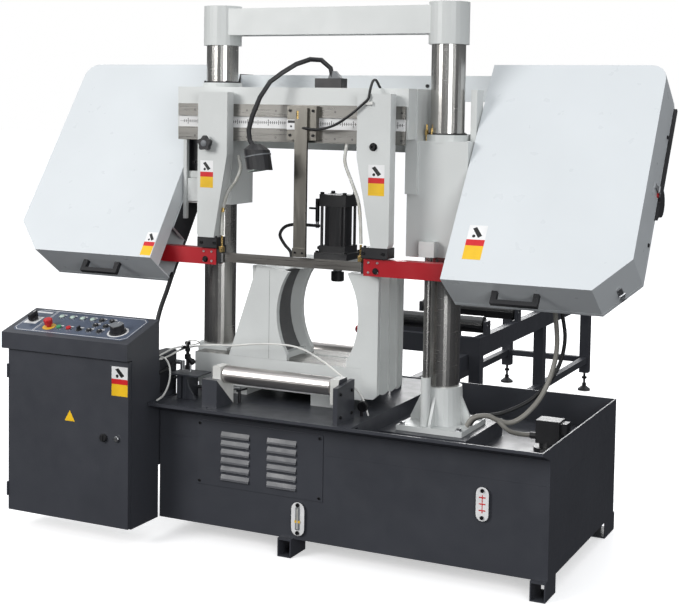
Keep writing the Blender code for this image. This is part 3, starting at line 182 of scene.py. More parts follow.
def make_light():
    """White backdrop for the camera; for the surfaces a soft box overhead that darkens to the horizon."""
    world = bpy.data.worlds.new("studio")
    world.use_nodes = True
    tree = world.node_tree
    where = add_node(tree, "TexCoord")
    split = add_node(tree, "SeparateXYZ")
    tree.links.new(where.outputs["Generated"], split.inputs["Vector"])
    height = add_node(tree, "MapRange", From_Min=-1.0)
    tree.links.new(split.outputs["Z"], height.inputs["Value"])
    sky = colour_ramp(tree, height.outputs["Result"], *SKY_STOPS)
    lighting = set_inputs(tree.nodes["Background"], Strength=SKY_POWER)
    tree.links.new(sky, lighting.inputs["Color"])
    backdrop = add_node(tree, "Background", Color=(1, 1, 1, 1))
    seen = add_node(tree, "LightPath")
    choice = add_node(tree, "MixShader")
    tree.links.new(seen.outputs["Is Camera Ray"], choice.inputs[0])
    tree.links.new(lighting.outputs["Background"], choice.inputs[1])
    tree.links.new(backdrop.outputs["Background"], choice.inputs[2])
    tree.links.new(choice.outputs["Shader"], tree.nodes["World Output"].inputs["Surface"])
    bpy.context.scene.world = world
    bpy.context.scene.view_settings.view_transform = "Standard"
    area_light("key", (-3.4, -7.2, 3.8), 3.0, 265, (1.0, 0.99, 0.98))
    area_light("fill", (4.6, -6.8, 2.2), 3.5, 155, (0.98, 0.99, 1.0))
    area_light("top", (0.8, 0.2, 6.0), 3.4, 70, (1.0, 1.0, 1.0))
    area_light("back", (-2.0, 6.5, 4.5), 3.5, 240, (1.0, 1.0, 1.0))


def make_floor():
    mesh = bpy.data.meshes.new("floor")
    half = 60.0
    corners = [(-half, -half, 0), (half, -half, 0), (half, half, 0), (-half, half, 0)]
    mesh.from_pydata(corners, [], [(0, 1, 2, 3)])
    floor = new_object("floor", mesh)
    floor.location.z = -0.001
    material, _, shader = new_finish("floor", 0.6)
    set_inputs(shader, Base_Color=(0.93, 0.93, 0.935, 1), Emission_Color=(1, 1, 1, 1), Emission_Strength=0.5)
    mesh.materials.append(material)
    floor.visible_diffuse = False
    floor.visible_glossy = False


# ---- finishes
def new_finish(name, roughness, metallic=0.0):
    material = bpy.data.materials.new(name)
    material.use_nodes = True
    shader = set_inputs(material.node_tree.nodes["Principled BSDF"], Roughness=roughness, Metallic=metallic)
    return material, material.node_tree, shader


def noise(tree, scale, detail=3.0, stretch=(1, 1, 1)):
    """Noise in the object's own metres, stretched along the axes where the stretch is small."""
    where = add_node(tree, "TexCoord")
    mapping = add_node(tree, "Mapping", Scale=stretch)
    texture = add_node(tree, "TexNoise", Scale=scale, Detail=detail)
    tree.links.new(where.outputs["Object"], mapping.inputs["Vector"])
    tree.links.new(mapping.outputs["Vector"], texture.inputs["Vector"])
    return texture.outputs["Fac"]


def uneven_gloss(tree, shader, value, low, high):
    """Roughness from low to high as the value goes through its middle."""
    node = add_node(tree, "MapRange", From_Min=0.3, From_Max=0.7, To_Min=low, To_Max=high)
    tree.links.new(value, node.inputs["Value"])
    tree.links.new(node.outputs["Result"], shader.inputs["Roughness"])


def two_tone(tree, shader, value, dark, light):
    """A colour between dark and light as the value goes through its middle."""
    tint = colour_ramp(tree, value, (0.32, dark), (0.68, light))
    tree.links.new(tint, shader.inputs["Base Color"])


def bump(tree, shader, value, distance, strength=1.0):
    node = add_node(tree, "Bump", Strength=strength, Distance=distance)
    tree.links.new(value, node.inputs["Height"])
    tree.links.new(node.outputs["Normal"], shader.inputs["Normal"])


def tinted(colour, factor):
    return tuple(min(1.0, c * factor) for c in colour)


def painted(name, colour, roughness, peel=0.0001, peel_scale=420, shade=0.05, coat=0.0):
    """Sprayed paint: orange peel, a little cloudiness and uneven gloss."""
    material, tree, shader = new_finish(name, roughness)
    two_tone(tree, shader, noise(tree, 2.6, 4), tinted(colour, 1 - shade), tinted(colour, 1 + shade))
    uneven_gloss(tree, shader, noise(tree, 14), roughness - 0.05, roughness + 0.07)
    bump(tree, shader, noise(tree, peel_scale, 2), peel)
    set_inputs(shader, Coat_Weight=coat, Coat_Roughness=0.12)
    return material


def cast(name, colour):
    """Painted casting: filler waves under the paint and a fine sand grain."""
    material, tree, shader = new_finish(name, 0.48)
    two_tone(tree, shader, noise(tree, 3.2, 5), tinted(colour, 0.93), tinted(colour, 1.05))
    uneven_gloss(tree, shader, noise(tree, 22), 0.42, 0.58)
    bump(tree, shader, noise(tree, 90, 6), 0.0006, 0.6)
    return material


def machined(name, dark, light, roughness, lay, metallic=1.0, depth=0.00008, uneven=0.08):
    """Ground or turned metal, its fine lines along the axes where lay is small."""
    material, tree, shader = new_finish(name, roughness, metallic)
    lines = noise(tree, 240, 4, lay)
    two_tone(tree, shader, noise(tree, 6, 4, lay), dark, light)
    uneven_gloss(tree, shader, lines, roughness - uneven, roughness + uneven)
    if depth:
        bump(tree, shader, lines, depth, 0.5)
    return material


def moulded(name, colour, roughness, grain=700):
    """Plastic or rubber with a fine spark-eroded grain."""
    material, tree, shader = new_finish(name, roughness)
    two_tone(tree, shader, noise(tree, 9), tinted(colour, 0.88), tinted(colour, 1.12))
    uneven_gloss(tree, shader, noise(tree, 40), roughness - 0.05, roughness + 0.08)
    bump(tree, shader, noise(tree, grain, 2), 0.00012, 0.7)
    return material


def clear_tube():
    """PVC tube: milky, a little yellow, half clear."""
    material, tree, shader = new_finish("clear_tube", 0.22)
    two_tone(tree, shader, noise(tree, 30), (0.62, 0.61, 0.55), (0.8, 0.8, 0.77))
    set_inputs(shader, Transmission_Weight=0.35, IOR=1.5)
    return material


TURNED_ON_X, TURNED_ON_Z = (1, 0.05, 0.05), (0.05, 0.05, 1)
SLATE = painted("slate_powder_coat", (0.05, 0.053, 0.063), 0.36, 0.00022, 620, 0.08)
# Darker copy of the slate paint: painted shade, for slate faces that stand in shadow
SLATE_PAINTED_SHADE = painted("slate_in_shade", (0.02, 0.021, 0.025), 0.55, 0.00022, 620, 0.08)
WHITE = painted("white_sheet_paint", (0.7, 0.735, 0.755), 0.32, 0.00008, 300, 0.02, 0.25)
WARM = cast("light_casting_paint", (0.66, 0.68, 0.67))
WARM_SHEET = painted("light_sheet_paint", (0.66, 0.68, 0.67), 0.38, 0.0001, 300, 0.03)
RED = painted("red_paint", (0.42, 0.01, 0.018), 0.36, 0.00008, 340, 0.06, 0.15)
COLUMN = machined("ground_chrome", (0.49, 0.48, 0.46), (0.54, 0.53, 0.51), 0.27, TURNED_ON_Z, 1, 0, 0.004)
ROLLER = machined("chromed_roller", (0.62, 0.59, 0.57), (0.72, 0.69, 0.67), 0.34, TURNED_ON_X, 1, 0, 0.012)
TABLE_ROLLER = machined("table_roller_zinc", (0.085, 0.085, 0.085), (0.15, 0.15, 0.15), 0.3, (0.05, 1, 1))
WAYS = machined("ground_ways", (0.15, 0.146, 0.136), (0.27, 0.265, 0.25), 0.32, (0.03, 1, 1))
UPRIGHT_STEEL = machined("milled_steel", (0.15, 0.143, 0.128), (0.25, 0.24, 0.215), 0.36, (1, 1, 0.04))
BAND = machined("band_steel", (0.23, 0.22, 0.205), (0.4, 0.385, 0.36), 0.32, (0.02, 1, 1))
SCREW = machined("black_oxide", (0.012, 0.012, 0.013), (0.03, 0.03, 0.032), 0.38, (1, 1, 1), 0.6)
ZINC = machined("zinc_plate", (0.45, 0.46, 0.47), (0.66, 0.67, 0.68), 0.32, (1, 1, 1))
BRASS = machined("brass", (0.5, 0.34, 0.12), (0.66, 0.47, 0.19), 0.28, (1, 1, 1))
IRON = painted("black_enamel", (0.018, 0.018, 0.02), 0.36, 0.00012, 420, 0.12, 0.2)
RAW_IRON = cast("wheel_casting", (0.09, 0.09, 0.092))
BLACK = moulded("black_plastic", (0.016, 0.016, 0.018), 0.4)
RUBBER = moulded("black_rubber", (0.013, 0.013, 0.014), 0.55, 380)
GREY_PLASTIC = moulded("grey_plastic", (0.17, 0.18, 0.19), 0.42)
WHITE_PLASTIC = moulded("white_plastic", (0.74, 0.74, 0.71), 0.36)
YELLOW = moulded("yellow_plastic", (0.72, 0.42, 0.035), 0.38)
RED_PLASTIC = moulded("red_plastic", (0.52, 0.018, 0.022), 0.28)
GREEN_PLASTIC = moulded("green_plastic", (0.05, 0.3, 0.13), 0.3)
LAMP_GLASS = moulded("pilot_lamp_lens", (0.5, 0.62, 0.55), 0.16, 120)
LABEL_WHITE = moulded("label_white", (0.8, 0.8, 0.8), 0.32, 90)
LABEL_RED = moulded("label_red", (0.62, 0.018, 0.022), 0.32, 90)
LABEL_YELLOW = moulded("label_yellow", (0.85, 0.52, 0.02), 0.32, 90)
LABEL_BLACK = moulded("label_black", (0.015, 0.015, 0.015), 0.34, 90)
PLATE_BLUE = moulded("console_plate", (0.085, 0.105, 0.15), 0.34, 160)
GREY_TUBE = moulded("grey_conduit", (0.25, 0.24, 0.215), 0.4, 500)
CLEAR = clear_tube()
INK = moulded("scale_ink", (0.02, 0.02, 0.02), 0.45, 90)


# ---- shapes
class Shape:
    """Gathers solids in one mesh; done() makes it a piece, which rides on the CAD body given."""

    def __init__(self):
        self.mesh = bmesh.new()

    def prism(self, outline, low, high, place):
        near = [self.mesh.verts.new(place(a, b, low)) for a, b in outline]
        far = [self.mesh.verts.new(place(a, b, high)) for a, b in outline]
        self.mesh.faces.new(near)
        self.mesh.faces.new(far[::-1])
        for i in range(len(outline)):
            self.mesh.faces.new((near[i - 1], near[i], far[i], far[i - 1]))
        return self

    def box(self, x0, x1, y0, y1, z0, z1, place=along_z):
        return self.prism([(x0, y0), (x1, y0), (x1, y1), (x0, y1)], z0, z1, place)

    def circle(self, centre, side, across, radius, sides):
        """New corners on a circle, from side towards across."""
        angles = [2 * pi * i / sides for i in range(sides)]
        spokes = [side * cos(angle) + across * sin(angle) for angle in angles]
        return [self.mesh.verts.new(centre + spoke * radius) for spoke in spokes]

    def turned(self, profile, origin, axis, sides=20):
        """(radius, height) points turned about the axis; radius 0 closes the end, else it is a ring."""
        axis = Vector(axis).normalized()
        side = axis.cross(Y_AXIS if abs(axis.y) < 0.9 else X_AXIS).normalized()
        across = axis.cross(side)
        rings = []
        for radius, height in profile:
            centre = Vector(origin) + axis * height
            if radius == 0:
                rings.append([self.mesh.verts.new(centre)])
            else:
                rings.append(self.circle(centre, side, across, radius, sides))
        start = 0 if profile[0][0] > 0 else 1
        for k in range(start, len(rings)):
            low, high = rings[k - 1], rings[k]
            for i in range(sides):
                corners = [low[i - 1 if len(low) > 1 else 0], low[i if len(low) > 1 else 0]]
                corners += [high[i if len(high) > 1 else 0], high[i - 1 if len(high) > 1 else 0]]
                corners = list(dict.fromkeys(corners))
                if len(corners) > 2:
                    self.mesh.faces.new(corners)
        return self

    def rod(self, start, end, radius, sides=14):
        start, end = Vector(start), Vector(end)
        length = (end - start).length
        edge = min(radius, length) * 0.12
        profile = [(0, 0), (radius - edge, 0), (radius, edge), (radius, length - edge)]
        profile += [(radius - edge, length), (0, length)]
        return self.turned(profile, start, end - start, sides)

    def disc(self, radius, low, high, at, axis, sides):
        return self.turned([(0, low), (radius, low), (radius, high), (0, high)], at, axis, sides)

    def washer(self, inner, outer, low, high, at, axis, sides=22):
        return self.turned([(inner, low), (outer, low), (outer, high), (inner, high)], at, axis, sides)

    def cap_screw(self, at, axis, radius=0.006, height=0.006):
        """Socket-head screw: chamfered head with its recess."""
        profile = [(0, height * 0.35), (radius * 0.48, height * 0.35), (radius * 0.55, height)]
        profile += [(radius * 0.88, height), (radius, height * 0.85), (radius, 0), (0, 0)]
        return self.turned(profile, at, axis, 14)

    def cap_screws(self, xs, ys, zs, axis, radius, height):
        """A screw at every combination of the x, y and z values."""
        for at in itertools.product(xs, ys, zs):
            self.cap_screw(at, axis, radius, height)
        return self

    def hex_bolt(self, at, axis, radius=0.009, height=0.007):
        """Hexagon head on a washer."""
        self.disc(radius * 1.35, 0, 0.002, at, axis, 18)
        top = 0.002 + height
        profile = [(0, 0.002), (radius, 0.002), (radius, 0.001 + height), (radius * 0.85, top), (0, top)]
        return self.turned(profile, at, axis, 6)

    def tube(self, points, radius, sides=12):
        """A round tube along the points, closed at both ends."""
        rings, side = [], None
        for i, point in enumerate(points):
            ahead, back = points[min(i + 1, len(points) - 1)], points[max(i - 1, 0)]
            along = (ahead - back).normalized()
            if side is None:
                side = along.cross(Z_AXIS if abs(along.z) < 0.9 else X_AXIS)
            side = (side - along * side.dot(along)).normalized()
            rings.append(self.circle(point, side, along.cross(side), radius, sides))
        self.mesh.faces.new(rings[0])
        self.mesh.faces.new(rings[-1][::-1])
        for low, high in zip(rings, rings[1:]):
            for k in range(sides):
                self.mesh.faces.new((low[k - 1], low[k], high[k], high[k - 1]))
        return self

    def ribbon(self, points, width, low, high, place, closed=True):
        """A flat line of the given width along the points."""
        count = len(points)
        for i in range(count if closed else count - 1):
            a, b = Vector(points[i]), Vector(points[(i + 1) % count])
            along = (b - a).normalized() * (width / 2)
            across = Vector((-along.y, along.x))
            corners = [a - along - across, b + along - across, b + along + across, a - along + across]
            self.prism([tuple(c) for c in corners], low, high, place)
        return self

    def done(self, name, material, body=None, bevel=0.0):
        bmesh.ops.recalc_face_normals(self.mesh, faces=self.mesh.faces)
        data = bpy.data.meshes.new(name)
        self.mesh.to_mesh(data)
        self.mesh.free()
        data.transform(Matrix.Translation(SHIFT))
        piece = new_object(name, data)
        data.materials.append(material)
        if bevel:
            soften(piece, bevel)
        smooth_shade(data, 35)
        if body:
            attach(piece, body)
        return piece


def smooth_shade(data, crease):
    data.shade_smooth()
    data.set_sharp_from_angle(angle=radians(crease))


def soften(thing, width):
    """A small round on the sharp edges, so that they catch the light."""
    bevel = thing.modifiers.new("soft_edges", "BEVEL")
    bevel.width = width
    bevel.segments = 2
    bevel.limit_method = "ANGLE"
    bevel.angle_limit = radians(40)
    bevel.harden_normals = True


def smooth_route(points, per_span=6):
    """A smooth curve through the points."""
    points = [Vector(p) for p in points]
    route = []
    for i in range(len(points) - 1):
        p1, p2 = points[i], points[i + 1]
        p0 = points[i - 1] if i else p1 * 2 - p2
        p3 = points[i + 2] if i + 2 < len(points) else p2 * 2 - p1
        for k in range(per_span):
            t = k / per_span
            bend = p0 * 2 - p1 * 5 + p2 * 4 - p3
            route.append((p1 * 2 + (p2 - p0) * t + bend * t * t + (p1 * 3 - p0 - p2 * 3 + p3) * t**3) / 2)
    return route + [points[-1]]


# ---- finishes of the CAD nodes
COATS = (
    (SLATE, 0.0012, ("tank", "tray", "vent_panel", "cabinet", "cabinet_door", "table_frame")),
    (WARM_SHEET, 0.0012, ("right_column_base", "top_beam", "lift_cylinder", "right_sleeve", "left_sleeve")),
    (WARM_SHEET, 0.0012, ("slideway_beam",)),
    (WARM, 0.0012, ("bed", "fixed_jaw", "moving_jaw", "left_guide_arm", "right_guide_arm")),
    (WHITE, 0.0012, ("rear_beam", "left_cover", "right_cover", "left_wheel_box", "right_wheel_box")),
    (RED, 0.0008, ("left_blade_guard", "right_blade_guard")),
    (COLUMN, 0.0012, ("left_column", "right_column")),
    (IRON, 0.0012, ("coolant_pump", "clamp_cylinder", "clamp_ram", "drive_unit")),
    (IRON, 0.0012, ("left_blade_guide", "right_blade_guide")),
    (BLACK, 0.0008, ("door_knob", "main_switch", "selector", "lamp", "star_knob")),
    (RAW_IRON, 0.0012, ("drive_wheel", "idler_wheel")),
    (TABLE_ROLLER, 0.0012, [f"table_roller_{i}" for i in range(1, 5)]),
    (UPRIGHT_STEEL, 0.0006, ("feeler_slider", "feeler_bar")),
    (ROLLER, 0.0012, ("front_roller",)),
    (WAYS, 0.0006, ("slide_rails",)),
    (BAND, 0, ("blade",)),
    (BLACK, 0.0006, ("speed_knob",)),
    (YELLOW, 0.003, ("pendant_box",)),
    (RED_PLASTIC, 0.0005, ("emergency_stop", "pendant_stop", "button_stop")),
    (GREEN_PLASTIC, 0.0005, ("button_start",)),
    (BLACK, 0.0005, [f"button_{name}" for name in BLACK_BUTTONS]),
)


def coat(node, material, bevel):
    thing = NODES[node]
    thing.data.materials.clear()
    thing.data.materials.append(material)
    if bevel:
        soften(thing, bevel)
    smooth_shade(thing.data, 30)


def coat_where(node, material, test):
    """A second finish on the faces whose centre, in the drawing, passes the test."""
    data = NODES[node].data
    data.materials.append(material)
    index = len(data.materials) - 1
    for face in data.polygons:
        if test(face.center - SHIFT, face.normal):
            face.material_index = index


def coat_frame():
    for material, bevel, nodes in COATS:
        for node in nodes:
            coat(node, material, bevel)


def coat_parts_of_nodes():
    """Faces of a node that are a different material on the machine."""
    for side in ("left", "right"):
        coat_where(f"{side}_cover", BLACK, is_handle)
    coat_where("speed_knob", GREY_PLASTIC, lambda c, n: above_panel(c) > 0.03 and n.dot(PANEL_N) > 0.9)
    coat_where("cabinet", LAMP_GLASS, lambda c, n: above_panel(c) > 0.0005 and c.z < HOOD_TOP - 0.001)
    coat_where("bed", WAYS, lambda c, n: n.z > 0.9 and c.z > 0.75 and c.x > -0.44)
    coat_where("slide_rails", LABEL_WHITE, lambda c, n: n.y < -0.9 and 1.762 < c.z < 1.808)
    # The moving jaw's hollow web gets the dark casting finish: painted shade in the recess
    coat_where("moving_jaw", RAW_IRON, is_jaw_hollow)
    coat_where("tray", WHITE_PLASTIC, is_tray_guide)
    coat_where("table_frame", IRON, lambda c, n: c.z < 0.119)
    coat_where("right_wheel_box", BLACK, lambda c, n: c.x > COVER_OUT + 0.001)
    # The left sleeve's pocket gets the painted-shade slate: painted shade in the recess
    coat_where("left_sleeve", SLATE_PAINTED_SHADE, is_deep_pocket)
    # Faces of the left wheel box turned to +x get the painted-shade slate: shade painted on the side away
    # from the key light
    coat_where("left_wheel_box", SLATE_PAINTED_SHADE, lambda c, n: n.x > 0.9 and c.x > -0.7)
    coat_where("tank", LABEL_WHITE, lambda c, n: c.y < 0.0975 and 0.09 < c.z < 0.42 and n.y < -0.5)
    coat_where("idler_wheel", ZINC, is_tread)
    coat_where("drive_wheel", ZINC, is_tread)
    coat_where("right_sleeve", COLUMN, lambda c, n: c.z < 1.2 or (c.z < 1.246 and abs(c.x - 0.51) < 0.016))
    coat_where("clamp_ram", ZINC, lambda c, n: 1.11 < c.z < 1.38)


def above_panel(point):
    return (point - panel(0, 0)).dot(PANEL_N)


def is_handle(centre, normal):
    return (centre - bow(0, 0, 0)).dot(BOW_V) < -0.0005


def is_tray_guide(centre, normal):
    return 0.088 < centre.y < 0.172 and centre.z > 0.65 and -0.341 < centre.x < 0.2489


# Faces of the moving jaw's hollow web, painted dark as the shade in the recess
def is_jaw_hollow(centre, normal):
    return normal.x > 0.2 and 0.344 < centre.y < 0.551 and 0.79 < centre.z < 1.145


def is_deep_pocket(centre, normal):
    """The pocket beside the left guide arm, where the sleeve's inside is in the dark; its faces take painted
    shade.
    """
    return 1.562 < centre.z < 1.703 and 0.386 < centre.y < 0.4105 and centre.x < -0.526


def is_tread(centre, normal):
    side = 1 if centre.x > 0 else -1
    from_axis = centre - WHEEL_AXIS - X_AXIS * side * WHEEL_X
    radial = from_axis - BOW_N * from_axis.dot(BOW_N)
    return radial.length > 0.3 and abs(normal.dot(BOW_N)) < 0.3


# ---- labels
def label(name, body, place, a0, a1, b0, b1, h, height=0.0004):
    """A plain sticker: white picture field with a slanted bar, red band, yellow field."""
    wide, high = a1 - a0, b1 - b0
    split_low, split_high = b0 + high * 0.4, b0 + high * 0.58
    for colour, material, low, top in (
        ("white", LABEL_WHITE, split_high, b1),
        ("red", LABEL_RED, split_low, split_high),
        ("yellow", LABEL_YELLOW, b0, split_low),
    ):
        field = Shape().box(a0, a1, low, top, h, h + height, place)
        field.done(f"{name}_{colour}", material, body)
    bar = [(a0 + wide * 0.22, b1 - high * 0.1), (a0 + wide * 0.42, b1 - high * 0.05)]
    bar += [(a0 + wide * 0.8, split_high + high * 0.12), (a0 + wide * 0.6, split_high + high * 0.05)]
    dot_at = place(a0 + wide * 0.35, split_high + high * 0.1, h)
    across = (place(a0, b0, h + 1) - place(a0, b0, h)).normalized()
    mark = Shape().prism(bar, h + height, h + height * 1.6, place)
    mark.disc(wide * 0.09, 0, height * 1.6, dot_at, across, 14)
    mark.done(f"{name}_mark", LABEL_BLACK, body)


def front_of(y):
    """place() for pieces that stand on a wall facing the operator at y."""
    return lambda a, b, h: Vector((a, y - h, b))


def make_labels():
    label("right_cover_label", "right_cover", bow, 0.738, 0.814, 0.095, 0.248, 0.0)
    label("left_cover_label", "left_cover", bow, -0.727, -0.673, 0.01, 0.124, 0.0)
    label("left_arm_label", "left_guide_carriage", front_of(GUIDE_ARM_Y), -0.497, -0.433, 1.5, 1.617, 0.0)
    label("right_arm_label", "saw_bow", front_of(GUIDE_ARM_Y), 0.3, 0.372, 1.498, 1.624, 0.0)
    label("door_label", "cabinet_door", front_of(DOOR_Y), -0.692, -0.612, 0.638, 0.762, 0.0)
    triangle = [(-0.932, 0.505), (-0.88, 0.505), (-0.906, 0.551)]
    sign = Shape().prism(triangle, 0.0, 0.0006, front_of(DOOR_Y))
    sign.done("door_triangle", LABEL_YELLOW, "cabinet_door")


# ---- control cabinet
BUTTON_PLACES = (
    (-1.014, 0.084), (-0.963, 0.084), (-0.856, 0.182), (-0.803, 0.182),
    (-0.856, 0.134), (-0.803, 0.134), (-0.856, 0.084), (-0.803, 0.084),
)
SELECTOR_AT, STOP_AT = (-0.909, 0.084), (-1.067, 0.085)
SWITCH_AT, SPEED_AT = (-1.185, 0.132), (-0.717, 0.098)
LAMP_PLACES = ((-1.069, 0.183), (-1.013, 0.183), (-0.959, 0.183), (-0.906, 0.183))


def make_console():
    """Printed plate with its border lines, collars, dials and small blank legend plates."""
    x0, x1, s0, s1, cut = -1.2335, -0.6385, 0.03, 0.239, 0.022
    plate = [(x0 + cut, s0), (x1 - cut, s0), (x1, s0 + cut), (x1, s1 - cut), (x1 - cut, s1), (x0 + cut, s1)]
    plate += [(x0, s1 - cut), (x0, s0 + cut)]
    Shape().prism(plate, 0.0001, 0.001, panel).done("console_plate", PLATE_BLUE, "base")
    margin = 0.007
    centre = Vector(((x0 + x1) / 2, (s0 + s1) / 2))
    half = Vector(((x1 - x0) / 2, (s1 - s0) / 2))
    border = []
    for a, b in plate:
        share = Vector(((a - centre.x) / half.x, (b - centre.y) / half.y))
        border.append((a - margin * share.x, b - margin * share.y))
    lines = Shape().ribbon(border, 0.0022, 0.001, 0.0013, panel)
    for x in (-1.126, -1.119):
        lines.ribbon([(x, s0 + margin), (x, s1 - margin)], 0.0016, 0.001, 0.0013, panel, closed=False)
    lines.done("console_lines", LABEL_WHITE, "base")
    white_square = Shape().box(-1.218, -1.152, 0.099, 0.165, 0.001, 0.002, panel)
    white_square.done("main_switch_plate", LABEL_WHITE, "base")
    dial = Shape().washer(0.0385, 0.047, 0.001, 0.0016, panel(*SPEED_AT), PANEL_N)
    dial.done("speed_dial", LABEL_WHITE, "base")
    ticks = Shape()
    for i in range(11):
        angle = radians(-135 + 27 * i)
        radial = Vector((sin(angle), cos(angle)))
        ends = [tuple(Vector(SPEED_AT) + radial * r) for r in (0.04, 0.045)]
        ticks.ribbon(ends, 0.001, 0.0016, 0.0018, panel, closed=False)
    ticks.done("speed_dial_ticks", INK, "base")
    yellow = Shape().washer(0.0108, 0.03, 0.001, 0.003, panel(*STOP_AT), PANEL_N)
    yellow.done("emergency_stop_ring", YELLOW, "base")
    collars = Shape()
    for at in BUTTON_PLACES + (SELECTOR_AT,):
        top = 0.002 if at == SELECTOR_AT else 0.0044
        collars.washer(0.0122, 0.0162, 0.001, top, panel(*at), PANEL_N)
    for at in LAMP_PLACES:
        collars.washer(0.0118, 0.0152, 0.001, 0.006, panel(*at), PANEL_N)
    collars.done("button_collars", ZINC, "base")
    legends = Shape()
    for x, s in BUTTON_PLACES + (SELECTOR_AT,) + LAMP_PLACES:
        legends.box(x - 0.012, x + 0.012, s + 0.0185, s + 0.0245, 0.001, 0.0014, panel)
    legends.box(-1.222, -1.14, 0.205, 0.217, 0.001, 0.0014, panel)
    legends.done("console_legends", LABEL_WHITE, "base")
    for (x, s), name in zip(BUTTON_PLACES[2:], BLACK_BUTTONS):
        mark = Shape().box(x - 0.004, x + 0.004, s - 0.0012, s + 0.0012, 0.0118, 0.0123, panel)
        mark.done(f"button_{name}_mark", LABEL_WHITE, f"button_{name}")
    x, s = SWITCH_AT
    grip = Shape().box(x - 0.0015, x + 0.0015, s + 0.006, s + 0.024, 0.0355, 0.0365, panel)
    grip.done("main_switch_pointer", LABEL_WHITE, "main_switch")
    x, s = SPEED_AT
    pointer = Shape().box(x - 0.0012, x + 0.0012, s + 0.01, s + 0.026, 0.0385, 0.0393, panel)
    pointer.done("speed_knob_pointer", LABEL_WHITE, "speed_knob")


def make_cabinet_details():
    # Strip along the hood's seam in the painted-shade slate: the gap's shade painted on
    seam = Shape().box(-1.2345, -0.6065, -0.1145, -0.1141, 0.7855, 0.7885)
    seam.done("hood_seam", SLATE_PAINTED_SHADE, "base")
    profile = [(0, 0.0055), (0.0015, 0.0055), (0.0045, 0.0052), (0.0105, 0.0052)]
    profile += [(0.012, 0.004), (0.012, 0.0), (0, 0)]
    lock = Shape().turned(profile, (-0.663, DOOR_Y - 0.005, 0.457), -Y_AXIS, 20)
    lock.done("door_lock", ZINC, "cabinet_door")
    x, z = KNOB_AT
    knob = Shape().box(x - 0.0035, x + 0.0035, z - 0.014, z + 0.014, 0.0, 0.0048, front_of(DOOR_Y - 0.013))
    knob.done("door_knob_grip", BLACK, "door_knob", 0.001)
    hinges = Shape()
    for z in (0.17, 0.69):
        hinges.rod((-1.2355, DOOR_Y - 0.0015, z - 0.03), (-1.2355, DOOR_Y - 0.0015, z + 0.03), 0.0055)
    hinges.done("door_hinge_pins", SLATE, "cabinet_door")


# ---- tank and tray
def make_tank_details():
    face = front_of(TANK_Y)
    oil = Shape().box(0.0665, 0.0855, 0.12, 0.214, 0.0, 0.004, face)
    oil.done("oil_gauge_window", GREY_PLASTIC, "base", 0.0015)
    tube = Shape().rod((0.076, 0.0835, 0.124), (0.076, 0.0835, 0.21), 0.0045)
    tube.done("oil_gauge_tube", CLEAR, "base")
    red = Shape().box(0.064, 0.088, 0.15, 0.16, 0.004, 0.0046, face)
    red.done("oil_gauge_mark", LABEL_YELLOW, "base")
    bolts = Shape()
    bolts.cap_screws((0.076,), (TANK_Y,), (0.1075, 0.2235), -Y_AXIS, 0.0085, 0.006)
    bolts.cap_screws((0.872,), (TANK_Y,), (0.288, 0.394), -Y_AXIS, 0.0075, 0.006)
    bolts.cap_screws((-0.4, 0.168), (VENT_PANEL_Y,), (0.262, 0.509), -Y_AXIS, 0.006, 0.004)
    bolts.done("gauge_and_panel_screws", SCREW, "base")
    marks = Shape()
    for z in (0.316, 0.3415, 0.367):
        marks.box(0.8585, 0.8855, z - 0.0022, z + 0.0022, 0.0, 0.0008, face)
    marks.box(0.8705, 0.8735, 0.306, 0.377, 0.0, 0.001, face)
    marks.done("coolant_gauge_marks", LABEL_RED, "base")
    # Dark strips in label black on the vent panel: painted shade of the louvre openings
    slots = Shape()
    for x0, x1 in ((-0.294, -0.159), (-0.074, 0.062)):
        for row in range(6):
            z = 0.278 + 0.0365 * row
            slots.box(x0 + 0.006, x1 - 0.006, z - 0.0034, z - 0.0002, 0.0, 0.0012, front_of(VENT_PANEL_Y))
    slots.done("louvre_slots_painted_shade", LABEL_BLACK, "base")


def make_tray_details():
    """Weld beads and the screws of the front roller's brackets."""
    screws = Shape().cap_screws((0.269,), (0.07, 0.176), (0.612, 0.705), X_AXIS, 0.007, 0.006)
    screws.done("bracket_screws", SCREW, "base")
    bead = Shape()
    for x in (0.247, -0.348):
        bead.tube(smooth_route([(x, 0.05, 0.5857), (x, 0.12, 0.586), (x, 0.198, 0.5857)], 5), 0.003, 6)
    bead.done("bracket_welds", SLATE, "base")


# ---- saw bow
def make_scale():
    """Ruled strip between the rails."""
    ticks = Shape()
    place = front_of(0.298)
    for i in range(-62, 43):
        x = i * 0.01
        if -0.636 < x < 0.428:
            high = 0.026 if i % 10 == 0 else 0.019 if i % 5 == 0 else 0.012
            ticks.box(x - 0.0014, x + 0.0014, 1.785 - high / 2, 1.785 + high / 2, 0.0, 0.0003, place)
    ticks.ribbon([(-0.64, 1.785), (0.43, 1.785)], 0.001, 0.0, 0.0003, place, closed=False)
    ticks.done("scale_ticks", INK, "saw_bow")
    places = (-0.56, -0.3, -0.16, 0.12, 0.2, 0.42)
    screws = Shape().cap_screws(places, (0.2902,), (1.722, 1.835), -Y_AXIS, 0.0042, 0.0003)
    screws.done("rail_screws", SCREW, "saw_bow")


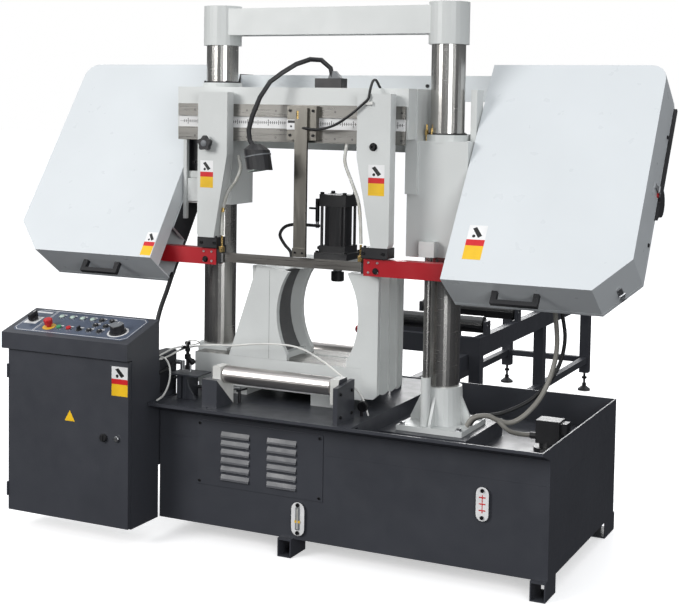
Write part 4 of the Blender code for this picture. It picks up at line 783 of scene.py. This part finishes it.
def make_feeler():
    """Reading block and clamp screws of the feeler's slider."""
    front = 0.262
    block = Shape().box(-0.088, -0.014, 1.758, 1.8, 0.0, 0.009, front_of(front))
    block.done("reading_block", LABEL_WHITE, "saw_bow", 0.001)
    window = Shape().box(-0.082, -0.02, 1.786, 1.797, 0.009, 0.0095, front_of(front))
    window.done("reading_window", LABEL_BLACK, "saw_bow")
    screws = Shape().cap_screws((-0.076, 0.032), (front,), (1.735, 1.838), -Y_AXIS, 0.006, 0.005)
    screws.cap_screws((-0.066, -0.036), (front - 0.009,), (1.772,), -Y_AXIS, 0.004, 0.003)
    screws.done("slider_screws", SCREW, "saw_bow")
    stud = Shape().rod((-0.035, 0.252, 1.803), (-0.035, 0.252, 1.838), 0.006)
    stud.done("slider_stud", BRASS, "saw_bow")
    foot = Shape().cap_screws((-0.036, -0.002), (0.244,), (1.243,), -Y_AXIS, 0.005, 0.003)
    foot.done("feeler_foot_screws", SCREW, "feeler_bar")


def make_guides():
    """Screws, side pads, coolant nozzles and the knob's washer on the two guide arms."""
    for side, body in ((-1, "left_guide_carriage"), (1, "saw_bow")):
        name = "left" if side < 0 else "right"
        low, high = drawn_box(f"{name}_blade_guide")
        guard_low, guard_high = drawn_box(f"{name}_blade_guard")
        near_x = guard_high.x - 0.022 if side < 0 else guard_low.x + 0.022
        away = -0.04 if side < 0 else 0.04
        places = (near_x, near_x + away)
        screws = Shape().cap_screws(places, (guard_low.y,), (1.18, 1.221), -Y_AXIS, 0.005, 0.0035)
        screws.done(f"{name}_guard_screws", ZINC, body)
        big = Shape().hex_bolt((near_x + away * 0.8, guard_low.y, 1.187), -Y_AXIS, 0.01, 0.009)
        for x in (low.x + 0.02, high.x - 0.02):
            big.cap_screw((x, low.y, 1.262), -Y_AXIS, 0.007, 0.006)
            big.cap_screw((x, low.y + 0.014, 1.2847), Z_AXIS, 0.006, 0.006)
        big.done(f"{name}_guide_screws", SCREW, body)
        end_x = high.x if side < 0 else low.x
        pads = Shape()
        for y in (0.2665, 0.293):
            pads.box(end_x - 0.004, end_x + 0.004, y, y + 0.0125, 1.176, 1.214)
        pads.done(f"{name}_guide_pads", ZINC, body, 0.001)
        nozzle_x = end_x + (0.006 if side < 0 else -0.002)
        nozzle = Shape().rod((nozzle_x, 0.262, 1.236), (nozzle_x, 0.262, 1.292), 0.0055)
        nozzle.box(nozzle_x - 0.008, nozzle_x + 0.008, 0.25, 0.272, 1.222, 1.246)
        nozzle.done(f"{name}_coolant_nozzle", BRASS, body, 0.001)
    profile = [(0, 0), (0.017, 0), (0.017, 0.003), (0.012, 0.003)]
    profile += [(0.012, 0.012), (0.006, 0.012), (0.005, 0.006), (0, 0.006)]
    bolt = Shape().turned(profile, (0.321, GUIDE_ARM_Y, 1.696), -Y_AXIS, 22)
    bolt.done("right_arm_bolt", SCREW, "saw_bow")
    washer = Shape().washer(0.0145, 0.02, 0, 0.0025, (STAR_KNOB_X, GUIDE_ARM_Y, STAR_KNOB_Z), -Y_AXIS)
    washer.done("star_knob_washer", ZINC, "left_guide_carriage")
    profile = [(0, 0), (0.014, 0), (0.014, 0.002), (0.01, 0.004), (0, 0.004)]
    cap = Shape().turned(profile, (STAR_KNOB_X, 0.196, STAR_KNOB_Z), -Y_AXIS, 22)
    cap.done("star_knob_cap", GREY_PLASTIC, "star_knob")
    clip = Shape().box(0.282, 0.318, 1.866, 1.88, 0.0, 0.012, front_of(GUIDE_ARM_Y))
    clip.done("cable_clip", WHITE_PLASTIC, "saw_bow", 0.002)


def make_beam_details():
    screws = Shape().cap_screws((-0.17, 0.3), (0.86,), (1.955,), -Y_AXIS, 0.008, 0.006)
    screws.cap_screws((-0.62, -0.47), (0.3855,), (1.46, 1.6), -Y_AXIS, 0.0075, 0.006)
    screws.done("beam_screws", SCREW, "saw_bow")
    for name, side, z in (("left", -1, 1.955), ("right", 1, 1.748)):
        seal = Shape()
        at = Vector((side * COLUMN_X, COLUMN_Y, z))
        seal.turned([(0.0723, 0), (0.083, 0), (0.082, 0.006), (0.0723, 0.006)], at, Z_AXIS, 40)
        seal.done(f"column_wiper_{name}", RUBBER, "saw_bow")
        bolts = Shape()
        for i in range(4):
            angle = pi / 4 + i * pi / 2
            spot = at + Vector((cos(angle), sin(angle), 0)) * 0.0795
            bolts.cap_screw(spot, Z_AXIS, 0.0045, 0.009)
        bolts.done(f"wiper_screws_{name}", SCREW, "saw_bow")
    grease = Shape()
    grease.rod((0.47, 0.44, 1.722), (0.47, 0.44, 1.79), 0.0045)
    grease.rod((0.47, 0.44, 1.745), (0.47, 0.44, 1.768), 0.0085, 6)
    grease.rod((0.5, 0.42, 1.722), (0.5, 0.42, 1.775), 0.004)
    grease.done("grease_fittings", BRASS, "saw_bow")
    wedge = [(0.06, 1.975), (0.12, 1.975), (0.092, 2.006), (0.07, 2.006)]
    Shape().prism(wedge, 0.338, 0.362, along_y).done("lamp_clamp", GREY_PLASTIC, "saw_bow", 0.001)
    axis = Vector((-0.2, 0.04, 0.98)).normalized()
    head = Vector((-0.159, 0.125, 1.68))
    band = Shape().washer(0.0552, 0.0562, -0.034, -0.029, head, axis, 36)
    band.done("lamp_seam", GREY_PLASTIC, "saw_bow")
    glass = Shape().turned([(0, -0.0905), (0.048, -0.0905), (0.048, -0.0925), (0, -0.094)], head, axis, 30)
    glass.done("lamp_glass", LAMP_GLASS, "saw_bow")


def toggle_latch(shape, at, along, out):
    """Over-centre latch: base plate, lever and hook, lying along the given direction."""
    side = along.cross(out).normalized()

    def place(a, b, h):
        return at + along * a + side * b + out * h

    shape.box(-0.028, 0.022, -0.011, 0.011, 0.0, 0.003, place)
    lever = [(-0.024, 0.003), (0.01, 0.014), (0.016, 0.014), (0.012, 0.003)]
    shape.prism(lever, -0.008, 0.008, lambda a, b, h: place(a, h, b))
    shape.rod(place(0.006, -0.014, 0.011), place(0.006, 0.014, 0.011), 0.0045)
    for b in (-0.0075, 0.0075):
        shape.rod(place(0.01, b, 0.01), place(0.046, b, 0.006), 0.002, 8)
    shape.box(0.044, 0.056, -0.011, 0.011, 0.0, 0.009, place)


def make_housing_details():
    """Latches and screws of the covers, gas springs, and the plates beside the left wheel box."""
    x = COVER_OUT
    latches = Shape()
    toggle_latch(latches, bow(x, 0.54, -0.15), -BOW_N, X_AXIS)
    chamfer_out = (X_AXIS * 0.105 - BOW_V * 0.105).normalized()
    toggle_latch(latches, bow(1.34, 0.0705, -0.14), -BOW_N, chamfer_out)
    latches.done("right_cover_latches", ZINC, "right_cover", 0.0006)
    catch = Shape().box(x, x + 0.006, 0.52, 0.548, -0.186, -0.172, bow)
    catch.done("right_cover_catch", RED_PLASTIC, "right_cover", 0.001)
    screws = Shape()
    for v in (0.3, 0.8):
        screws.cap_screw(bow(x, v, -0.176), X_AXIS, 0.008, 0.005)
    screws.done("right_cover_screws", SCREW, "right_cover")
    for side, name in ((-1, "left"), (1, "right")):
        rod_x = side * 0.7
        stay = Shape().rod(bow(rod_x, 0.93, -0.23), bow(rod_x, 0.56, -0.23), 0.009)
        stay.rod(bow(rod_x, 0.56, -0.23), bow(rod_x, 0.4, -0.23), 0.004)
        stay.done(f"{name}_gas_spring", SCREW, "saw_bow")
    flange = Shape().box(-0.6655, -0.6485, 0.366, 0.3848, 1.348, 1.702)
    flange.done("left_sleeve_flange", WARM_SHEET, "saw_bow", 0.001)
    block = Shape().box(-0.6475, -0.53, 0.372, 0.39, 1.426, 1.529)
    block.box(-0.6475, -0.53, 0.384, 0.409, 1.532, 1.558)
    block.done("left_sleeve_block", WARM_SHEET, "saw_bow", 0.0015)


def make_drive_details():
    """Cooling fins, fan cowl, terminal box and covers of the motor and gearbox."""
    centre_v, centre_n = 0.945, -0.335
    fins = Shape()
    for i in range(22):
        angle = 2 * pi * i / 22
        out_v, out_n = cos(angle), sin(angle)
        base = bow(0, centre_v + out_v * 0.069, centre_n + out_n * 0.069)
        tip = bow(0, centre_v + out_v * 0.079, centre_n + out_n * 0.079)
        across = (tip - base).normalized().cross(X_AXIS) * 0.0013
        inside_beam = tip.y < 0.865 and tip.z > 1.865
        if not inside_beam:
            corners = [base - across, tip - across, tip + across, base + across]
            fins.prism([(c.y, c.z) for c in corners], 0.62, 0.98, along_x)
    fins.done("motor_fins", IRON, "saw_bow")
    profile = [(0.062, 0.0), (0.074, 0.01), (0.076, 0.075), (0.071, 0.075)]
    cowl = Shape().turned(profile, bow(0.546, centre_v, centre_n), X_AXIS, 26)
    cowl.done("motor_cowl", IRON, "saw_bow")
    grille = Shape()
    for radius in (0.018, 0.03, 0.042, 0.054):
        at = bow(0.545, centre_v, centre_n)
        grille.washer(radius - 0.002, radius + 0.002, -0.0015, 0.001, at, X_AXIS, 26)
    grille.done("motor_grille", ZINC, "saw_bow")
    low_v, high_v = centre_v - 0.045, centre_v + 0.045
    terminals = Shape().box(0.7, 0.8, low_v, high_v, centre_n - 0.108, centre_n - 0.066, bow)
    terminals.done("motor_terminal_box", IRON, "saw_bow", 0.003)
    screws = Shape()
    for x in (0.955, 1.13):
        for v in (0.305, 0.52):
            screws.hex_bolt(bow(x, v, -0.4), -BOW_N, 0.01, 0.007)
    profile = [(0, 0), (0.055, 0), (0.055, 0.01), (0.045, 0.014), (0, 0.014)]
    screws.turned(profile, bow(WHEEL_X, WHEEL_V, -0.4), -BOW_N, 28)
    screws.done("gearbox_screws", SCREW, "saw_bow")
    cover_screws = Shape()
    for v in (0.36, 0.68, 0.98):
        cover_screws.cap_screw(bow(1.2, v, -0.3), X_AXIS, 0.007, 0.005)
    cover_screws.done("belt_case_screws", ZINC, "saw_bow")


# ---- vise
def make_vise_details():
    """Screws in the jaws, the seam of the moving jaw's wear plate, and the clamp's fittings."""
    seam = Shape().box(-0.1955, -0.1945, 0.768, 1.15, 0.0, 0.0003, front_of(0.318))
    seam.done("jaw_seam", LABEL_BLACK, "vise_carriage")
    ties = Shape()
    for dx, dy in itertools.product((-0.056, 0.056), repeat=2):
        ties.hex_bolt((CLAMP_X + dx, CLAMP_Y + dy, 1.458), Z_AXIS, 0.0105, 0.01)
    for dx, dy in itertools.product((-0.072, 0.072), repeat=2):
        ties.cap_screw((CLAMP_X + dx, CLAMP_Y + dy, 1.1943), Z_AXIS, 0.0075, 0.008)
    ties.done("clamp_tie_nuts", SCREW, "vise_carriage")
    ports = Shape()
    y = CLAMP_PORT_Y
    ports.rod((-0.158, y, 1.428), (-0.19, y, 1.428), 0.008)
    ports.rod((-0.19, y, 1.436), (-0.19, y, 1.33), 0.0095)
    ports.rod((-0.158, y, 1.21), (-0.186, y, 1.21), 0.008)
    ports.rod((-0.2, y, 1.39), (-0.232, y, 1.39), 0.005)
    ports.done("clamp_ports", SCREW, "vise_carriage")
    profile = [(0, 0), (0.007, 0), (0.007, 0.012), (0.004, 0.016), (0, 0.016)]
    flow = Shape().turned(profile, (-0.204, y, 1.312), -X_AXIS, 14)
    flow.rod((-0.19, y, 1.33), (-0.19, y, 1.3), 0.0075)
    flow.done("clamp_flow_valve", ZINC, "vise_carriage")
    base_bolts = Shape()
    for dx, dy in itertools.product((-0.125, 0.125), repeat=2):
        base_bolts.hex_bolt((COLUMN_X + dx, COLUMN_Y + dy, 0.5423), Z_AXIS, 0.012, 0.01)
    base_bolts.done("column_base_bolts", ZINC, "base")


def make_bed_details():
    """The rear support roller behind the bed, its brackets and the support's top."""
    roller = Shape()
    low, high, y, z, radius = -0.3, 0.19, 0.8, 0.7275, 0.0375
    profile = [(0, 0), (0.014, 0), (0.014, 0.016), (radius - 0.003, 0.016), (radius, 0.019)]
    length = high - low
    profile += [(radius, length - 0.019), (radius - 0.003, length - 0.016)]
    profile += [(0.014, length - 0.016), (0.014, length), (0, length)]
    roller.turned(profile, (low, y, z), X_AXIS, 32)
    roller.done("rear_support_roller", ROLLER, "base")
    brackets = Shape()
    for x in (-0.318, 0.19):
        brackets.box(x, x + 0.018, y - 0.045, y + 0.045, 0.5853, 0.75)
    brackets.box(-0.3, 0.19, 0.655, 0.745, 0.5853, 0.69)
    brackets.done("rear_roller_brackets", SLATE, "base", 0.002)
    plates = Shape().box(-0.3, 0.18, 0.655, 0.745, 0.69, 0.7)
    plates.done("rear_support_top", WAYS, "base", 0.001)


def hose(name, points, radius, material, body):
    """A hose along a smooth curve through the points."""
    route = smooth_route(points)
    piece = Shape().tube(route, radius).done(name, material, body)


def make_bow_hoses():
    """Clear coolant tubes to the guides and the feeler's cable; each stays on its own body."""
    left = [(-0.345, 0.3, 1.64), (-0.332, 0.296, 1.585), (-0.352, 0.29, 1.53), (-0.384, 0.276, 1.477),
            (-0.4, 0.266, 1.394), (-0.401, 0.262, 1.296)]
    hose("left_coolant_tube", left, 0.0072, CLEAR, "left_guide_carriage")
    right = [(0.172, 0.298, 1.702), (0.168, 0.29, 1.629), (0.205, 0.28, 1.548), (0.243, 0.268, 1.468),
             (0.256, 0.262, 1.387), (0.26, 0.262, 1.296)]
    hose("right_coolant_tube", right, 0.0072, CLEAR, "saw_bow")
    joint_left = Shape().rod((-0.398, 0.267, 1.414), (-0.4, 0.265, 1.394), 0.0075)
    joint_left.done("left_tube_joint", BRASS, "left_guide_carriage")
    joint_right = Shape().rod((0.249, 0.266, 1.44), (0.253, 0.264, 1.415), 0.0075)
    joint_right.done("right_tube_joint", BRASS, "saw_bow")
    sensor = [(-0.012, 0.253, 1.766), (0.03, 0.24, 1.763), (0.085, 0.232, 1.764), (0.15, 0.226, 1.782),
              (0.221, 0.222, 1.824), (0.276, 0.222, 1.868), (0.3, 0.224, 1.892), (0.3, 0.24, 1.925),
              (0.293, 0.28, 1.962), (0.285, 0.33, 1.968), (0.282, 0.38, 1.9385)]
    hose("feeler_cable", sensor, 0.0055, RUBBER, "saw_bow")


def make_base_hoses():
    """Air and coolant lines that stay on the base or on the vise."""
    bed_tube = [(-0.611, 0.098, 0.76), (-0.598, 0.106, 0.763), (-0.588, 0.15, 0.771), (-0.574, 0.198, 0.785),
                (-0.54, 0.222, 0.799), (-0.48, 0.226, 0.811), (-0.404, 0.226, 0.821), (-0.315, 0.226, 0.827),
                (-0.226, 0.226, 0.841), (-0.091, 0.226, 0.852), (0.004, 0.226, 0.844), (0.098, 0.226, 0.807),
                (0.192, 0.226, 0.75), (0.261, 0.226, 0.702), (0.297, 0.226, 0.662), (0.323, 0.226, 0.595)]
    hose("bed_tube", bed_tube, 0.004, WHITE_PLASTIC, "base")
    short_tube = [(-0.611, 0.098, 0.776), (-0.6, 0.13, 0.786), (-0.59, 0.178, 0.797), (-0.5545, 0.206, 0.805)]
    hose("valve_tube", short_tube, 0.004, WHITE_PLASTIC, "base")
    drain = [(-0.64, 0.092, 0.752), (-0.622, 0.106, 0.764), (-0.584, 0.098, 0.768), (-0.55, 0.08, 0.746),
             (-0.534, 0.066, 0.71), (-0.537, 0.056, 0.662), (-0.556, 0.048, 0.618), (-0.584, 0.042, 0.5945)]
    hose("drain_tube", drain, 0.0042, WHITE_PLASTIC, "base")
    pressure = [(-0.611, 0.098, 0.7), (-0.6, 0.13, 0.708), (-0.598, 0.178, 0.722), (-0.5915, 0.206, 0.734)]
    hose("pressure_hose", pressure, 0.008, RUBBER, "base")
    loop = [(-0.5395, 0.204, 0.806), (-0.5275, 0.19, 0.828), (-0.5035, 0.182, 0.84), (-0.4795, 0.19, 0.838),
            (-0.4755, 0.206, 0.828), (-0.4995, 0.214, 0.818), (-0.5255, 0.211, 0.812)]
    hose("valve_loop", loop, 0.0026, CLEAR, "base")
    clamp_loop = [(-0.29, 0.7, 1.164), (-0.3, 0.705, 1.192), (-0.338, 0.718, 1.222), (-0.37, 0.735, 1.262),
                  (-0.352, 0.75, 1.298), (-0.3, 0.757, 1.312), (-0.24, 0.755, 1.312), (-0.172, 0.745, 1.312)]
    hose("clamp_hose", clamp_loop, 0.0075, RUBBER, "vise_carriage")
    branch = [(0.783, 0.508, 0.572), (0.808, 0.512, 0.548), (0.835, 0.53, 0.525), (0.866, 0.565, 0.511),
              (0.902, 0.59, 0.507)]
    hose("pump_branch", branch, 0.0095, GREY_TUBE, "base")


def make_hose_duct():
    """Narrow box behind the cabinet, where the hoses and cables of the base come together."""
    duct = Shape().box(-0.664, -0.609, 0.0908, 0.235, 0.3, 0.783)
    duct.done("hose_duct", SLATE, "base", 0.0015)
    # The lid is drawn in the painted-shade slate, darker than the duct's own slate
    lid = Shape().box(-0.609, -0.608, 0.102, 0.224, 0.61, 0.77)
    lid.box(-0.662, -0.611, 0.094, 0.232, 0.783, 0.7845)
    lid.done("hose_duct_lid", SLATE_PAINTED_SHADE, "base", 0.0004)
    screws = Shape().cap_screws((-0.608,), (0.11, 0.216), (0.62, 0.76), X_AXIS, 0.0045, 0.003)
    gland = [(0.0095, 0), (0.017, 0), (0.015, 0.012), (0.0105, 0.018), (0.0095, 0.018)]
    screws.turned(gland, (-0.64, 0.11, 0.783), Z_AXIS, 18)
    screws.done("hose_duct_screws", SCREW, "base")


def make_valve_stack():
    """Valves, pipes and their bracket on the deck, between the cabinet and the bed."""
    x, y = -0.5355, 0.208
    stack = Shape().rod((x, y, 0.706), (x, y, 0.828), 0.0075)
    rings = ((0.706, 0.724, 0.012), (0.75, 0.772, 0.014), (0.784, 0.798, 0.012), (0.814, 0.828, 0.013))
    for low, high, radius in rings:
        stack.rod((x, y, low), (x, y, high), radius, 8)
    stack.rod((x, y, 0.763), (-0.5115, 0.204, 0.744), 0.0085)
    stack.rod((-0.5155, 0.205, 0.747), (-0.5015, 0.202, 0.736), 0.013, 10)
    stack.rod((x, y, 0.802), (-0.5655, 0.206, 0.802), 0.007, 10)
    stack.done("valve_stack", SCREW, "base", 0.0006)
    pipes = Shape().rod((-0.5675, 0.208, 0.734), (-0.5935, 0.206, 0.734), 0.0105, 12)
    pipes.rod((-0.5615, 0.208, 0.742), (-0.5615, 0.208, 0.7), 0.01, 12)
    pipes.rod((-0.5535, 0.206, 0.798), (-0.6195, 0.193, 0.764), 0.0035, 8)
    pipes.rod((-0.612, 0.215, 0.662), (-0.558, 0.215, 0.665), 0.006, 12)
    pipes.rod((-0.534, 0.262, 0.622), (-0.3, 0.262, 0.634), 0.0075, 14)
    pipes.rod((-0.5195, 0.204, 0.696), (-0.5195, 0.204, 0.734), 0.006, 10)
    pipes.done("deck_pipes", ZINC, "base")
    bracket = Shape().box(-0.6, -0.452, 0.15, 0.27, 0.686, 0.693)
    bracket.box(-0.559, -0.54, 0.158, 0.262, 0.5856, 0.6858)
    bracket.box(-0.53, -0.513, 0.158, 0.262, 0.5856, 0.6858)
    gusset = [(-0.5128, 0.685), (-0.5128, 0.5856), (-0.462, 0.5856), (-0.5, 0.64)]
    bracket.prism(gusset, 0.16, 0.17, along_y)
    bracket.done("pipe_bracket", SLATE, "base", 0.001)
    wheel = [(0, 0), (0.021, 0), (0.023, 0.004), (0.021, 0.016), (0.009, 0.018), (0, 0.014)]
    valve = Shape().turned(wheel, (0.301, 0.226, 0.632), -Y_AXIS, 22)
    valve.rod((0.301, 0.25, 0.632), (0.301, 0.226, 0.632), 0.01)
    valve.rod((0.286, 0.24, 0.5855), (0.286, 0.24, 0.622), 0.006)
    valve.rod((-0.292, 0.215, 0.634), (-0.236, 0.205, 0.652), 0.0045, 8)
    valve.rod((-0.277, 0.212, 0.5856), (-0.277, 0.212, 0.64), 0.006, 10)
    valve.done("deck_valves", SCREW, "base", 0.0006)


def make_bridging_hoses():
    """Conduit, hose and cable between the bow and the base."""
    conduit = [(0.955, 0.602, 1.212), (0.955, 0.626, 1.165), (0.957, 0.664, 1.11), (0.963, 0.69, 1.018),
               (0.972, 0.7, 0.874), (0.959, 0.68, 0.762), (0.926, 0.64, 0.66), (0.878, 0.58, 0.59),
               (0.827, 0.54, 0.559), (0.783, 0.508, 0.572), (0.746, 0.485, 0.59), (0.7, 0.45, 0.585),
               (0.672, 0.44, 0.548)]
    black = [(0.99, 0.606, 1.22), (0.99, 0.64, 1.175), (0.988, 0.71, 1.11), (0.982, 0.73, 1.013),
             (0.994, 0.74, 0.89), (0.968, 0.72, 0.763), (0.89, 0.66, 0.65), (0.79, 0.6, 0.59),
             (0.727, 0.56, 0.575), (0.69, 0.5, 0.57), (0.676, 0.47, 0.548)]
    cable = [(-0.69, 0.33, 1.11), (-0.672, 0.29, 1.1), (-0.656, 0.225, 1.04), (-0.652, 0.165, 0.96),
             (-0.65, 0.13, 0.88), (-0.645, 0.114, 0.815), (-0.64, 0.11, 0.775)]
    for name, points, radius, material in (
        ("lift_conduit", conduit, 0.0105, GREY_TUBE),
        ("lift_hose", black, 0.0085, RUBBER),
        ("cabinet_cable", cable, 0.01, RUBBER),
    ):
        route = smooth_route(points)
        piece = Shape().tube(route, radius).done(name, material)
        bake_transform(piece)


# ---- roller table
def make_table_details():
    """Bearing housings' screws, the stop pendant's button collar and its two small buttons."""
    screws = Shape()
    for i in range(4):
        low, high = drawn_box(f"table_roller_{i + 1}")
        y = (low.y + high.y) / 2
        for x, axis in ((high.x + 0.002, X_AXIS), (low.x - 0.002, -X_AXIS)):
            screws.cap_screws((x,), (y - 0.021, y + 0.021), (0.72,), axis, 0.005, 0.003)
    screws.done("bearing_screws", ZINC, "base")
    low, high = drawn_box("pendant_box")
    y = (low.y + high.y) / 2
    collar = Shape().washer(0.0108, 0.026, 0, 0.0025, (low.x, y, 0.655), -X_AXIS)
    collar.done("pendant_stop_collar", GREY_PLASTIC, "base")
    profile = [(0, 0), (0.013, 0), (0.013, 0.006), (0.011, 0.009), (0, 0.009)]
    for z, material, name in ((0.715, GREEN_PLASTIC, "green"), (0.755, WHITE_PLASTIC, "white")):
        button = Shape().turned(profile, (low.x, y, z), -X_AXIS, 20)
        button.done(f"pendant_lamp_{name}", material, "base")
    lock_nuts = Shape()
    for y, x in itertools.product((1.847, 2.96, 3.978), (-0.334, 0.204)):
        lock_nuts.disc(0.017, 0.078, 0.092, (x, y, 0), Z_AXIS, 6)
    lock_nuts.done("levelling_nuts", IRON, "base")


def main():
    make_camera()
    make_light()
    make_floor()
    coat_frame()
    coat_parts_of_nodes()
    make_labels()
    make_console()
    make_cabinet_details()
    make_tank_details()
    make_tray_details()
    make_scale()
    make_feeler()
    make_guides()
    make_beam_details()
    make_housing_details()
    make_drive_details()
    make_vise_details()
    make_bed_details()
    make_bow_hoses()
    make_base_hoses()
    make_hose_duct()
    make_valve_stack()
    make_bridging_hoses()
    make_table_details()


main()
